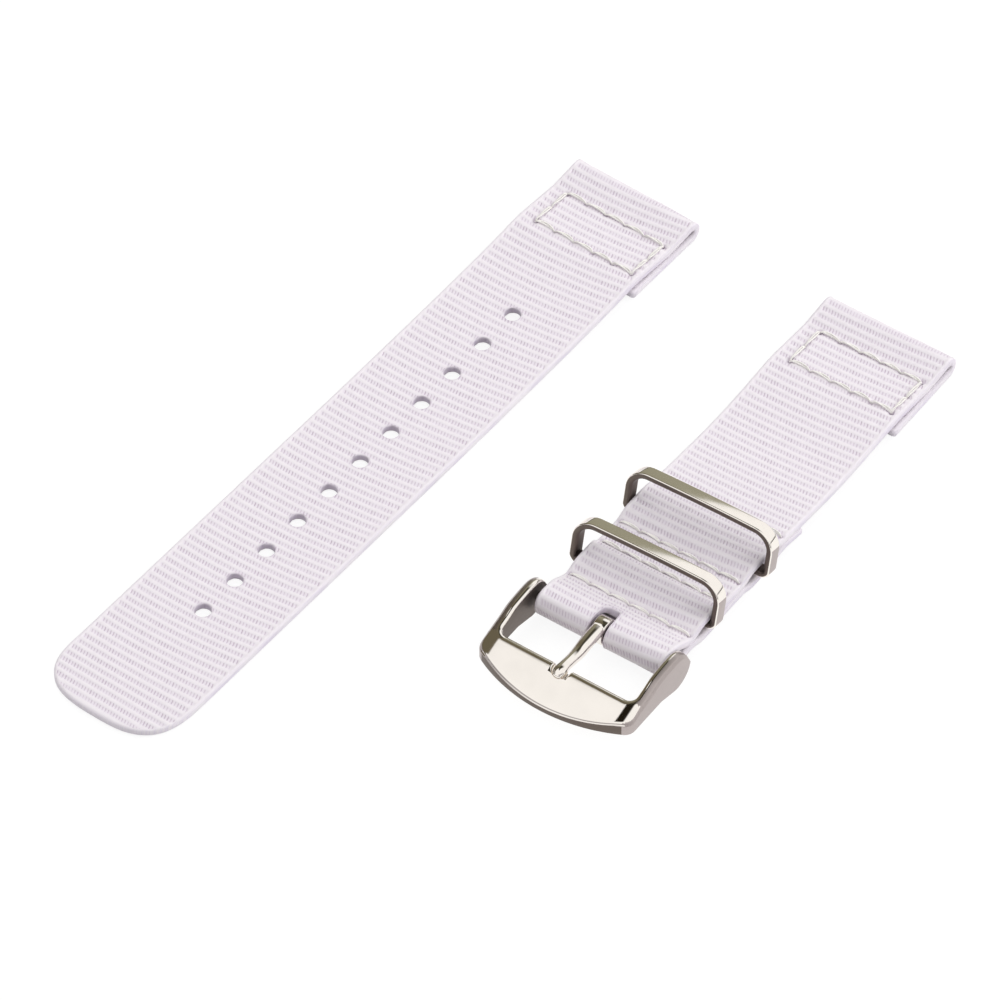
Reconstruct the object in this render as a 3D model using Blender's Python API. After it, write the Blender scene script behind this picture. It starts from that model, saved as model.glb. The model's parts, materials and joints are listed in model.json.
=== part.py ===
"""Two-piece nylon watch strap, lying open: the tail half with its holes, and the buckle half beside it.

Metres, +Z up, the table at Z = 0. X runs across the strap and +Y along it, towards the lug ends.
Each half is laid out in its own frame: the tail half from its first hole, the buckle half from the
axis of the buckle's spring bar. The pair is centred on the origin at the end.
"""
import math

import bmesh
import bpy
from mathutils import Vector

# Webbing, shared by both halves
WEB_WIDTH = 0.0223
WEB_THICK = 0.00125
WEB_EDGE = 0.0003
LAYER_GAP = 0.00015
CUT_OVERRUN = 0.002

# Lug ends: a loop for the watch's spring bar, closed by a stitched box
LUG_VOID = 0.0012
LUG_LOOP_DEPTH = 0.0070
BOX_LENGTH = 0.0075
BOX_INSET = 0.00215
FLAP_OVERHANG = 0.0017
FLAP_SKEW = 0.00065

# Tail half
TAIL_LUG_REACH = 0.0312
TAIL_TIP_REACH = 0.0983
TIP_ROUNDING = 0.0104
TIP_POWER_SHARE = 3.0
TIP_SKEW = 0.0003
TIP_FLAT_SHARE = 0.002
DROOP_LENGTH = 0.0440
DROOP_SHARES = ((0.00, 1.00), (0.07, 0.76), (0.20, 0.50), (0.45, 0.24), (0.73, 0.09), (1.00, 0.00))
HOLE_COUNT = 11
HOLE_PITCH = 0.00735
HOLE_DIAMETER = 0.0026
HOLE_SHIFT = 0.0002
TAIL_YAW = math.radians(2.89)
TAIL_OFFSET = 0.0480
TAIL_AHEAD = 0.0452

# Buckle half: places along the strap from the bar's axis
BUCKLE_YAW = math.radians(0.3)
BUCKLE_OFFSET = 0.00025
BUCKLE_LUG_REACH = 0.0745
FOLD_END = 0.0342
LOWER_KEEPER_AT = 0.0105
UPPER_KEEPER_AT = 0.0233
ROW_BY_BAR = 0.0060
ROW_ABOVE_LOWER = 0.01405
ROW_BELOW_UPPER = 0.0188
ROW_BY_FOLD_END = 0.0297
PINCH_LIFT = 0.0007
BAR_ROW_LIFT = 0.0010
LOWER_POCKET_LIFT = 0.0003
POCKET_HEIGHT = 0.0017
POCKET_HALF_LENGTH = 0.0016
ARCH_HEIGHT = 0.0008

# Spring bar
BAR_DIAMETER = 0.0016
BAR_CLEARANCE = 0.00025
TUBE_WALL = 0.00022
TUBE_LIP = 0.0004
PIN_TRAVEL = 0.0010
PIN_TIP_DIAMETER = 0.0009
PIN_TIP_REACH = 0.0009
PIN_COLLAR_DIAMETER = 0.0014
PIN_COLLAR_LENGTH = 0.00035
PIN_NECK_DIAMETER = 0.00062
PIN_HEAD_LENGTH = 0.0010
PIN_PLAY = 0.0001
PIN_HOLE_CLEARANCE = 0.0001
COIL_WIRE = 0.00018
COIL_TURNS = 16
COIL_CURL_POINTS = 8

# Buckle frame, from the bar's axis
LOBE_RADIUS = 0.0033
LOBE_OFFSET = 0.0009
FRAME_SHIFT = 0.00025
FRAME_REACH = 0.0164
PLATE_DEPTH = 0.0066
FRONT_SAG = 0.0036
ARM_CLEARANCE = 0.0005
ARM_THICK = 0.00175
FRAME_CORNER = 0.0018
WINDOW_CORNER = 0.0012
FRAME_ROUNDING = 0.0004
FRAME_TOP_SHARES = ((0.14, 1.00), (0.32, 0.90), (0.45, 0.67), (0.57, 0.49), (0.67, 0.33), (1.00, -0.28))
FRAME_BASE_SHARES = ((0.30, -0.71), (0.60, -0.71), (1.00, -0.70))

# Tang
TANG_DIAMETER = 0.0018
TANG_EYE_DIAMETER = 0.0042
TANG_LAP = 0.0024
TANG_SHIFT = 0.0003
TANG_SEAT_GAP = 0.00025
TANG_HEIGHT_SHARES = ((0.00, 0.57), (0.20, 0.58), (0.38, 0.50), (0.52, 0.38), (0.66, 0.42), (0.82, 0.52),
                      (0.93, 0.46), (1.00, 0.34))
TANG_GIRTH_SHARES = (1.00, 1.00, 1.00, 1.00, 0.98, 0.94, 0.86, 0.55)
SLOT_WIDTH = 0.0026
SLOT_REACH = 0.0025

# Keepers
KEEPER_SIDE_GAP = 0.00045
KEEPER_HEIGHT = 0.0083
KEEPER_BAND = 0.0023
KEEPER_THICK = 0.0011
KEEPER_CORNER = 0.0030
KEEPER_FOOT_CORNER = 0.0015
KEEPER_ROUNDING = 0.00045
KEEPER_LEAN = math.radians(12)
LOWER_KEEPER_SHIFT = -0.0003
UPPER_KEEPER_SHIFT = 0.0003
LOWER_KEEPER_YAW = math.radians(1.2)
UPPER_KEEPER_YAW = math.radians(1.2)

# Sewing thread
THREAD_DIAMETER = 0.00045
THREAD_GAP = 0.0001
STITCH_LENGTH = 0.0036
STITCH_RISE = 0.0001
NEEDLE_PINCH_SHARE = 0.6
GROOVE_WIDTH = 0.0008
GROOVE_DEPTH = 0.00062
ROW_INSET = 0.00205

BAR_HEIGHT = LOBE_RADIUS
HALF_THICK = WEB_THICK / 2
DOUBLED = 1.5 * WEB_THICK + LAYER_GAP
LUG_ARC = (LUG_VOID + WEB_THICK) / 2
BAR_ARC = BAR_DIAMETER / 2 + BAR_CLEARANCE + HALF_THICK
FRAME_INNER = WEB_WIDTH / 2 + ARM_CLEARANCE
FRAME_OUTER = FRAME_INNER + ARM_THICK
PLATE_BACK = FRAME_REACH - PLATE_DEPTH
TANG_LENGTH = PLATE_BACK + TANG_LAP
KEEPER_WIDTH = WEB_WIDTH + 2 * (KEEPER_SIDE_GAP + KEEPER_THICK)
BOX_HALF_WIDTH = WEB_WIDTH / 2 - BOX_INSET
ROW_HALF_WIDTH = WEB_WIDTH / 2 - ROW_INSET


def clear_scene():
    for obj in list(bpy.data.objects):
        bpy.data.objects.remove(obj, do_unlink=True)


def make_material(name, colour, roughness, metallic):
    material = bpy.data.materials.new(name)
    material.use_nodes = True
    shader = material.node_tree.nodes["Principled BSDF"]
    shader.inputs["Base Color"].default_value = (*colour, 1)
    shader.inputs["Roughness"].default_value = roughness
    shader.inputs["Metallic"].default_value = metallic
    return material


def make_empty(name, location, yaw=0.0):
    empty = bpy.data.objects.new(name, None)
    empty.location = location
    empty.rotation_euler = (0, 0, yaw)
    bpy.context.scene.collection.objects.link(empty)
    return empty


def add_object(name, data, parent, material, location=(0, 0, 0), rotation=(0, 0, 0)):
    obj = bpy.data.objects.new(name, data)
    obj.parent = parent
    obj.location = location
    obj.rotation_euler = rotation
    if material:
        data.materials.append(material)
    bpy.context.scene.collection.objects.link(obj)
    return obj


def mesh_from(name, bm, smooth=True):
    bmesh.ops.recalc_face_normals(bm, faces=bm.faces)
    mesh = bpy.data.meshes.new(name)
    bm.to_mesh(mesh)
    bm.free()
    if smooth:
        mesh.shade_smooth()
        mesh.set_sharp_from_angle(angle=math.radians(35))
    return mesh


def loft(rings, closed=False):
    """Skin a row of vertex rings into one body, capped unless the row closes on itself."""
    bm = bmesh.new()
    loops = [[bm.verts.new(point) for point in ring] for ring in rings]
    pairs = list(zip(loops, loops[1:]))
    if closed:
        pairs.append((loops[-1], loops[0]))
    for near, far in pairs:
        for i, corner in enumerate(near):
            j = (i + 1) % len(near)
            bm.faces.new((corner, near[j], far[j], far[i]))
    if not closed:
        bm.faces.new(loops[0])
        bm.faces.new(list(reversed(loops[-1])))
    return bm


def extruded(outline, direction):
    """A prism: the closed outline pushed along direction."""
    bm = bmesh.new()
    face = bm.faces.new([bm.verts.new(point) for point in outline])
    grown = bmesh.ops.extrude_face_region(bm, geom=[face])
    moved = [item for item in grown["geom"] if isinstance(item, bmesh.types.BMVert)]
    bmesh.ops.translate(bm, verts=moved, vec=direction)
    return bm


def turned(profile, segments):
    """A body turned about X from (x, radius) pairs, which start and end off the axis."""
    rings = []
    for x, radius in profile:
        angles = [math.tau * k / segments for k in range(segments)]
        rings.append([Vector((x, radius * math.cos(a), radius * math.sin(a))) for a in angles])
    return rings


def arc(centre, radius, start, end, count):
    """Points of a circular arc in degrees, both ends included."""
    angles = [math.radians(start + (end - start) * k / count) for k in range(count + 1)]
    return [(centre[0] + radius * math.cos(a), centre[1] + radius * math.sin(a)) for a in angles]


def smooth_through(keys, cuts):
    """Catmull-Rom points through the keys, which hold any number of values each."""
    points = []
    for i in range(len(keys) - 1):
        before = keys[max(i - 1, 0)]
        start = keys[i]
        end = keys[i + 1]
        after = keys[min(i + 2, len(keys) - 1)]
        for k in range(cuts):
            t = k / cuts
            point = []
            for a, b, c, d in zip(before, start, end, after):
                bend = 2 * a - 5 * b + 4 * c - d
                swing = 3 * b - a - 3 * c + d
                point.append((2 * b + (c - a) * t + bend * t * t + swing * t ** 3) / 2)
            points.append(tuple(point))
    points.append(tuple(keys[-1]))
    return points


def eased_through(keys, cuts):
    """Points through (y, height) keys that never rise or dip past a key."""
    steps = [(b[1] - a[1]) / (b[0] - a[0]) for a, b in zip(keys, keys[1:])]
    slopes = [steps[0]]
    for left, right in zip(steps, steps[1:]):
        slopes.append(2 * left * right / (left + right) if left * right > 0 else 0)
    slopes.append(steps[-1])
    points = []
    for (y0, z0), (y1, z1), m0, m1 in zip(keys, keys[1:], slopes, slopes[1:]):
        for k in range(cuts):
            t = k / cuts
            rise = (y1 - y0) * (m0 * (t - 2 * t ** 2 + t ** 3) + m1 * (t ** 3 - t ** 2))
            points.append((y0 + (y1 - y0) * t, z0 + (z1 - z0) * (3 * t ** 2 - 2 * t ** 3) + rise))
    points.append(tuple(keys[-1]))
    return points


def add_cut(obj, cutter, operation="DIFFERENCE"):
    modifier = obj.modifiers.new(cutter.name, "BOOLEAN")
    modifier.operation = operation
    modifier.object = cutter
    cutter.hide_render = True
    cutter.display_type = "WIRE"


def block(lowest, highest):
    (x0, y0, z0), (x1, y1, z1) = lowest, highest
    outline = [(x0, y0, z0), (x1, y0, z0), (x1, y1, z0), (x0, y1, z0)]
    return extruded(outline, Vector((0, 0, z1 - z0)))


def join_bodies(bodies):
    """One mesh holding several separate bodies."""
    whole = bmesh.new()
    for body in bodies:
        part = bpy.data.meshes.new("part")
        body.to_mesh(part)
        body.free()
        whole.from_mesh(part)
        bpy.data.meshes.remove(part)
    return whole


def ribbon_rings(stations):
    """Cross-sections of webbing along stations of (y, z, sideways shift, half width)."""
    rings = []
    for i, (y, z, shift, half_width) in enumerate(stations):
        before = stations[max(i - 1, 0)]
        after = stations[min(i + 1, len(stations) - 1)]
        along = Vector((0, after[0] - before[0], after[1] - before[1])).normalized()
        outward = Vector((0, along.z, -along.y))
        centre = Vector((shift, y, z))
        side = half_width - WEB_EDGE
        low = HALF_THICK - WEB_EDGE
        section = [(-half_width, -low), (-half_width, low), (-side, HALF_THICK), (side, HALF_THICK),
                   (half_width, low), (half_width, -low), (side, -HALF_THICK), (-side, -HALF_THICK)]
        rings.append([centre + Vector((u, 0, 0)) + outward * v for u, v in section])
    return rings


def lug_end(lug_reach):
    """Ribbon stations of a lug end: the flap and loop from the flap's end, then the layer above the flap."""
    loop_centre = lug_reach - LUG_ARC - HALF_THICK
    row_near = lug_reach - LUG_LOOP_DEPTH
    row_far = row_near - BOX_LENGTH
    flap_end = row_far - FLAP_OVERHANG
    loop_height = HALF_THICK + LUG_ARC
    half = WEB_WIDTH / 2
    under = [(flap_end, HALF_THICK, FLAP_SKEW, half), (row_near, HALF_THICK, FLAP_SKEW, half)]
    bend = [(y, z, FLAP_SKEW, half) for y, z in arc((loop_centre, loop_height), LUG_ARC, -90, 90, 8)]
    down = eased_through([(loop_centre, loop_height + LUG_ARC), (row_near, DOUBLED)], 5)[1:]
    over = []
    for y, z in down:
        over.append((y, z, FLAP_SKEW * (y - row_far) / (loop_centre - row_far), half))
    over.append((row_far, DOUBLED, 0, half))
    over.append((flap_end, DOUBLED, 0, half))
    return under + bend, over


def tip_stations():
    """The rounded tip: the width falls away on a flattened curve."""
    half = WEB_WIDTH / 2
    start = -(TAIL_TIP_REACH - TIP_ROUNDING)
    stations = [(start, HALF_THICK, 0, half)]
    cuts = 14
    for k in range(1, cuts + 1):
        share = math.sin(math.pi / 2 * k / cuts)
        width_share = max(1 - share ** TIP_POWER_SHARE, TIP_FLAT_SHARE) ** (1 / TIP_POWER_SHARE)
        shift = -TIP_SKEW * share
        stations.append((start - TIP_ROUNDING * share, HALF_THICK, shift, half * width_share))
    return stations


def tail_stations():
    under, over = lug_end(TAIL_LUG_REACH)
    start = over[-1][0]
    drop = DOUBLED - HALF_THICK
    keys = [(start - DROOP_LENGTH * along, HALF_THICK + drop * up) for along, up in DROOP_SHARES]
    droop = [(y, z, 0, WEB_WIDTH / 2) for y, z in eased_through(keys, 3)]
    return under + over[:-1] + droop + tip_stations()


def buckle_layers():
    """Keys of the doubled stretch, fold end to bar row: (y, lift of the under layer, room between layers)."""
    return [(FOLD_END, 0, 2 * LAYER_GAP),
            (ROW_BY_FOLD_END, PINCH_LIFT, LAYER_GAP),
            (UPPER_KEEPER_AT + POCKET_HALF_LENGTH, 0, POCKET_HEIGHT),
            (UPPER_KEEPER_AT - POCKET_HALF_LENGTH, 0, POCKET_HEIGHT),
            (ROW_BELOW_UPPER, PINCH_LIFT, LAYER_GAP),
            (ROW_ABOVE_LOWER, PINCH_LIFT, LAYER_GAP),
            (LOWER_KEEPER_AT + POCKET_HALF_LENGTH, LOWER_POCKET_LIFT, POCKET_HEIGHT),
            (LOWER_KEEPER_AT - POCKET_HALF_LENGTH, LOWER_POCKET_LIFT, POCKET_HEIGHT),
            (ROW_BY_BAR, BAR_ROW_LIFT, LAYER_GAP)]


def buckle_stations():
    under, over = lug_end(BUCKLE_LUG_REACH)
    half = WEB_WIDTH / 2
    flap_end = over[-1][0]
    arch_end = (flap_end + FOLD_END) / 2
    upper = [over[-1][:2], (arch_end, HALF_THICK + ARCH_HEIGHT)]
    upper += [(y, lift + room + 3 * HALF_THICK) for y, lift, room in buckle_layers()]
    upper += [(BAR_ARC, BAR_HEIGHT + BAR_ARC - LAYER_GAP), (0, BAR_HEIGHT + BAR_ARC)]
    lower = [(0, BAR_HEIGHT - BAR_ARC), (BAR_ARC, BAR_HEIGHT - BAR_ARC - LAYER_GAP)]
    lower += [(y, HALF_THICK + lift) for y, lift, _ in reversed(buckle_layers())]
    upper_run = [(y, z, 0, half) for y, z in eased_through(upper, 4)]
    bend = [(y, z, 0, half) for y, z in arc((0, BAR_HEIGHT), BAR_ARC, 90, 270, 10)]
    lower_run = [(y, z, 0, half) for y, z in eased_through(lower, 4)]
    return under + over[:-1] + upper_run[:-1] + bend + lower_run[1:]


def surface_height(stations, y, topmost):
    """Height of the webbing's top or bottom face at y."""
    heights = []
    for (y0, z0, _, _), (y1, z1, _, _) in zip(stations, stations[1:]):
        if min(y0, y1) <= y <= max(y0, y1) and y0 != y1:
            heights.append(z0 + (z1 - z0) * (y - y0) / (y1 - y0))
    return max(heights) + HALF_THICK if topmost else min(heights) - HALF_THICK


def box_ring_cutter(name, parent, lug_reach):
    """A shallow channel under the lug end that the bobbin thread lies in."""
    row_near = lug_reach - LUG_LOOP_DEPTH
    row_far = row_near - BOX_LENGTH
    reach = GROOVE_WIDTH / 2
    half = BOX_HALF_WIDTH
    bm = bmesh.new()
    loops = []
    for z in (-CUT_OVERRUN, GROOVE_DEPTH):
        for grow in (reach, -reach):
            corners = [(FLAP_SKEW - half - grow, row_far - grow), (FLAP_SKEW + half + grow, row_far - grow),
                       (FLAP_SKEW + half + grow, row_near + grow), (FLAP_SKEW - half - grow, row_near + grow)]
            loops.append([bm.verts.new((x, y, z)) for x, y in corners])
    outer_low, inner_low, outer_high, inner_high = loops
    for a, b in ((outer_low, outer_high), (inner_high, inner_low), (inner_low, outer_low),
                 (outer_high, inner_high)):
        for i in range(4):
            j = (i + 1) % 4
            bm.faces.new((a[i], a[j], b[j], b[i]))
    return add_object(name, mesh_from(name, bm, smooth=False), parent, None)


def build_tail_webbing(half, material, stations):
    mesh = mesh_from("tail_webbing", loft(ribbon_rings(stations)), smooth=False)
    webbing = add_object("tail_webbing", mesh, half, material)
    cutters = []
    for k in range(HOLE_COUNT):
        punch = bmesh.new()
        top = surface_height(stations, -k * HOLE_PITCH, True)
        bmesh.ops.create_cone(punch, cap_ends=True, segments=16, radius1=HOLE_DIAMETER / 2,
                              radius2=HOLE_DIAMETER / 2, depth=WEB_THICK + 2 * CUT_OVERRUN)
        bmesh.ops.translate(punch, verts=punch.verts, vec=(HOLE_SHIFT, -k * HOLE_PITCH, top - HALF_THICK))
        cutters.append(punch)
    holes = add_object("hole_punches", mesh_from("hole_punches", join_bodies(cutters)), half, None)
    add_cut(webbing, holes)
    add_cut(webbing, box_ring_cutter("tail_bobbin_channel", half, TAIL_LUG_REACH))
    return webbing


def build_buckle_webbing(half, pivot, material, stations):
    mesh = mesh_from("buckle_webbing", loft(ribbon_rings(stations)), smooth=False)
    webbing = add_object("buckle_webbing", mesh, half, material)
    reach = BAR_ARC + HALF_THICK + CUT_OVERRUN
    slot_block = block((-TANG_SHIFT - SLOT_WIDTH / 2, -reach, -reach),
                       (SLOT_WIDTH / 2 - TANG_SHIFT, SLOT_REACH, reach))
    slot = add_object("tang_slot", mesh_from("tang_slot", slot_block, smooth=False), pivot, None)
    add_cut(webbing, slot)
    add_cut(webbing, box_ring_cutter("buckle_bobbin_channel", half, BUCKLE_LUG_REACH))
    return webbing


def thread_curve(name, parent, material, points, radii, cyclic):
    curve = bpy.data.curves.new(name, "CURVE")
    curve.dimensions = "3D"
    curve.bevel_depth = THREAD_DIAMETER / 2
    curve.bevel_resolution = 1
    curve.use_fill_caps = not cyclic
    spline = curve.splines.new("POLY")
    spline.points.add(len(points) - 1)
    for slot, point, radius in zip(spline.points, points, radii):
        slot.co = (*point, 1)
        slot.radius = radius
    spline.use_cyclic_u = cyclic
    return add_object(name, curve, parent, material)


def stitched_line(start, end, height_at, upper):
    """Points of a run of stitches: down at each needle point, and risen between them."""
    start = Vector(start)
    end = Vector(end)
    count = max(round((end - start).length / STITCH_LENGTH), 1)
    points = []
    radii = []
    outward = 1 if upper else -1
    for stitch in range(count):
        for share, rise in ((0, 0), (1 / 3, STITCH_RISE), (2 / 3, STITCH_RISE)):
            flat = start.lerp(end, (stitch + share) / count)
            surface = height_at(flat.y)
            lift = THREAD_GAP + THREAD_DIAMETER / 2 + (rise if upper else 0)
            points.append((flat.x, flat.y, surface + outward * lift))
            radii.append(1 if rise else NEEDLE_PINCH_SHARE)
    return points, radii


def build_box_stitching(prefix, half, material, stations, lug_reach):
    row_near = lug_reach - LUG_LOOP_DEPTH
    row_far = row_near - BOX_LENGTH
    reach = BOX_HALF_WIDTH
    for label, upper in (("upper_thread", True), ("bobbin_thread", False)):
        shift = FLAP_SKEW / 2 if upper else FLAP_SKEW
        corners = [(shift - reach, row_far), (shift + reach, row_far),
                   (shift + reach, row_near), (shift - reach, row_near)]

        def height_at(y, upper=upper):
            channel = 0 if upper else GROOVE_DEPTH
            return surface_height(stations, y, upper) + channel

        points = []
        radii = []
        for start, end in zip(corners, corners[1:] + corners[:1]):
            run, widths = stitched_line(start, end, height_at, upper)
            points += run
            radii += widths
        thread_curve(f"{prefix}_{label}", half, material, points, radii, True)


def build_row_stitching(name, half, material, stations, y):
    for label, upper in (("upper_thread", True), ("bobbin_thread", False)):
        def height_at(along, upper=upper):
            return surface_height(stations, along, upper)

        points, radii = stitched_line((-ROW_HALF_WIDTH, y), (ROW_HALF_WIDTH, y), height_at, upper)
        points.append((ROW_HALF_WIDTH, y, points[0][2]))
        radii.append(NEEDLE_PINCH_SHARE)
        thread_curve(f"{name}_{label}", half, material, points, radii, False)


def rounded_rectangle(width, height, top_corner, foot_corner, cuts):
    """Outline points about the origin, counter-clockwise, each with its outward direction."""
    points = []
    for sx, sy, start in ((1, 1, 0), (-1, 1, 90), (-1, -1, 180), (1, -1, 270)):
        corner = top_corner if sy > 0 else foot_corner
        centre = (sx * (width / 2 - corner), sy * (height / 2 - corner))
        for k in range(cuts + 1):
            a = math.radians(start + 90 * k / cuts)
            direction = (math.cos(a), math.sin(a))
            point = (centre[0] + corner * direction[0], centre[1] + corner * direction[1])
            points.append((point, direction))
    return points


def build_keeper(name, half, material, place, yaw):
    """A rectangular ring whose origin is the middle of its lower bar, which lies between the layers."""
    inset = KEEPER_THICK / 2
    spine = rounded_rectangle(KEEPER_WIDTH - KEEPER_THICK, KEEPER_HEIGHT - KEEPER_THICK,
                              KEEPER_CORNER - inset, KEEPER_FOOT_CORNER - inset, 7)
    section = rounded_rectangle(KEEPER_THICK, KEEPER_BAND, KEEPER_ROUNDING, KEEPER_ROUNDING, 3)
    lift = (KEEPER_HEIGHT - KEEPER_THICK) / 2
    rings = []
    for (x, z), (out_x, out_z) in spine:
        centre = Vector((x, 0, z + lift))
        outward = Vector((out_x, 0, out_z))
        rings.append([centre + outward * u + Vector((0, v, 0)) for (u, v), _ in section])
    mesh = mesh_from(name, loft(rings, closed=True))
    return add_object(name, mesh, half, material, place, (-KEEPER_LEAN, 0, yaw))


def frame_side_lines():
    """The frame's upper and lower edges seen from its side, (y, z) from the bar's axis, rear first."""
    upper = arc((-LOBE_OFFSET, 0), LOBE_RADIUS, 10, 90, 10)
    top = [(-FRAME_REACH * along, LOBE_RADIUS * up) for along, up in FRAME_TOP_SHARES]
    upper += smooth_through([upper[-1]] + top, 3)[1:]
    lower = arc((-LOBE_OFFSET, 0), LOBE_RADIUS, -10, -100, 10)
    lower += [(-FRAME_REACH * along, LOBE_RADIUS * up) for along, up in FRAME_BASE_SHARES]
    return upper, lower


def line_height(line, y):
    """Height at y on a line of (y, z) points that runs towards -Y."""
    for (y0, z0), (y1, z1) in zip(line, line[1:]):
        if y1 <= y <= y0:
            return z0 + (z1 - z0) * (y - y0) / (y1 - y0)
    return line[0][1] if y > line[0][0] else line[-1][1]


def frame_front_outline():
    """The left half of the frame's outer edge from above: the arm's side, a rounded corner, the bowed front."""
    bow_radius = (FRAME_OUTER ** 2 + FRONT_SAG ** 2) / (2 * FRONT_SAG)
    bow_centre = (0, bow_radius - FRAME_REACH)
    corner_x = FRAME_CORNER - FRAME_OUTER
    drop = math.sqrt((bow_radius - FRAME_CORNER) ** 2 - corner_x ** 2)
    corner_centre = (corner_x, bow_centre[1] - drop)
    meets = math.degrees(math.atan2(corner_centre[1] - bow_centre[1], corner_x))
    corner = arc(corner_centre, FRAME_CORNER, 180, meets % 360, 6)
    return [(-FRAME_OUTER, LOBE_RADIUS)] + corner + arc(bow_centre, bow_radius, meets, -90, 8)[1:]


def outline_hit(centre, direction, outline):
    """Where a ray from centre meets the outline."""
    for start, end in zip(outline, outline[1:]):
        ahead = Vector(end) - Vector(start)
        away = Vector(start) - Vector(centre)
        cross = direction[0] * ahead.y - direction[1] * ahead.x
        if cross == 0:
            continue
        reach = (away.x * ahead.y - away.y * ahead.x) / cross
        share = (away.x * direction[1] - away.y * direction[0]) / cross
        if reach > 0 and 0 <= share <= 1:
            return (centre[0] + direction[0] * reach, centre[1] + direction[1] * reach)
    return outline[-1]


def frame_spans():
    """Pairs of plan points, inner and outer edge, from the left lobe round to the front's middle."""
    outline = frame_front_outline()
    fan_centre = (WINDOW_CORNER - FRAME_INNER, WINDOW_CORNER - PLATE_BACK)
    lobe = [-LOBE_OFFSET + LOBE_RADIUS * math.cos(math.radians(10 + 16 * k)) for k in range(6)]
    cuts = 7
    rest = [lobe[-1] + (fan_centre[1] - lobe[-1]) * k / cuts for k in range(1, cuts)]
    spans = [((-FRAME_INNER, y), (-FRAME_OUTER, y)) for y in lobe + rest]
    for inner, angle in zip(arc(fan_centre, WINDOW_CORNER, 180, 270, 6), range(180, 271, 15)):
        direction = (math.cos(math.radians(angle)), math.sin(math.radians(angle)))
        spans.append((inner, outline_hit(fan_centre, direction, outline)))
    cuts = 6
    for k in range(1, cuts + 1):
        x = fan_centre[0] * (1 - k / cuts)
        spans.append(((x, -PLATE_BACK), outline_hit((x, -PLATE_BACK), (0, -1), outline)))
    return spans


def frame_section(inner, outer, upper, lower):
    """One closed ring of the frame between an inner and an outer plan point, its long edges rounded."""
    inner = Vector(inner)
    outer = Vector(outer)
    width = (outer - inner).length
    tallest = min(line_height(upper, at.y) - line_height(lower, at.y) for at in (inner, outer))
    radius = min(FRAME_ROUNDING, tallest / 3, width / 3)
    turns = [math.radians(30 * k) for k in range(4)]
    near = [(radius * (1 - math.cos(a)), radius * (1 - math.sin(a))) for a in turns]
    middle = [(radius + (width - 2 * radius) * k / 4, 0) for k in range(1, 4)]
    side = near + middle + [(width - along, drop) for along, drop in reversed(near)]
    ring = []
    for line, sign, steps in ((upper, -1, side), (lower, 1, side[::-1])):
        for along, drop in steps:
            at = inner.lerp(outer, along / width)
            ring.append(Vector((at.x, at.y, line_height(line, at.y) + sign * drop)))
    return ring


def build_buckle_frame(pivot, material):
    upper, lower = frame_side_lines()
    left = [frame_section(inner, outer, upper, lower) for inner, outer in frame_spans()]
    right = [[Vector((-point.x, point.y, point.z)) for point in ring] for ring in reversed(left[:-1])]
    frame = add_object("buckle_frame", mesh_from("buckle_frame", loft(left + right)), pivot, material)
    add_cut(frame, build_tang_notch(pivot))
    reach = FRAME_INNER + PIN_TIP_REACH + PIN_PLAY
    bore_radius = PIN_TIP_DIAMETER / 2 + PIN_HOLE_CLEARANCE
    bore = loft(turned([(-reach, bore_radius), (reach, bore_radius)], 16))
    add_cut(frame, add_object("pin_bores", mesh_from("pin_bores", bore), pivot, None))
    return frame


def tang_line():
    """Centre line of the tang, (y, z) from the bar's axis, eye end first."""
    scale = TANG_EYE_DIAMETER / 2
    return [(-TANG_LENGTH * along, scale * up) for along, up in TANG_HEIGHT_SHARES]


def build_tang_notch(pivot):
    """The half-round seat in the front plate that the tang's tip lies in, open upwards."""
    tip_y, tip_z = tang_line()[-1]
    rest_z = max(z for _, z in tang_line()[-3:])
    radius = TANG_DIAMETER / 2 + TANG_SEAT_GAP
    rings = []
    for k in range(9):
        a = math.radians(180 - 10 * (k + 1))
        rings.append((tip_y - TANG_SEAT_GAP + radius + radius * math.cos(a), radius * math.sin(a)))
    rings.append((-PLATE_BACK + CUT_OVERRUN, radius))
    top = LOBE_RADIUS + CUT_OVERRUN
    troughs = []
    for y, r in rings:
        bottom = [Vector((x, y, z)) for x, z in arc((0, rest_z), r, 180, 360, 10)]
        troughs.append([Vector((-r, y, top))] + bottom + [Vector((r, y, top))])
    return add_object("tang_seat", mesh_from("tang_seat", loft(troughs)), pivot, None, (-TANG_SHIFT, 0, 0))


def build_tang(pivot, material):
    centre = tang_line()
    keys = [(y, z, girth) for (y, z), girth in zip(centre, TANG_GIRTH_SHARES)]
    path = smooth_through(keys, 3)
    rings = []
    for i, (y, z, girth) in enumerate(path):
        before = path[max(i - 1, 0)]
        after = path[min(i + 1, len(path) - 1)]
        along = Vector((0, after[0] - before[0], after[1] - before[1])).normalized()
        upward = Vector((0, along.z, -along.y))
        radius = TANG_DIAMETER / 2 * girth
        angles = [math.tau * k / 14 for k in range(14)]
        ring_centre = Vector((0, y, z))
        rings.append([ring_centre + Vector((radius * math.cos(a), 0, 0)) + upward * radius * math.sin(a)
                      for a in angles])
    place = (-TANG_SHIFT, 0, 0)
    tang = add_object("tang", mesh_from("tang", loft(rings)), pivot, material, place)
    half = TANG_DIAMETER / 2
    outer = TANG_EYE_DIAMETER / 2
    corner = half / 4
    eye = loft(turned([(-half, outer - corner), (corner - half, outer), (half - corner, outer),
                       (half, outer - corner)], 28))
    add_cut(tang, add_object("tang_eye", mesh_from("tang_eye", eye), pivot, None, place), "UNION")
    bore = BAR_DIAMETER / 2 + BAR_CLEARANCE
    bore_body = loft(turned([(-half - CUT_OVERRUN, bore), (half + CUT_OVERRUN, bore)], 24))
    add_cut(tang, add_object("tang_bore", mesh_from("tang_bore", bore_body), pivot, None, place))
    return tang


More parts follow.
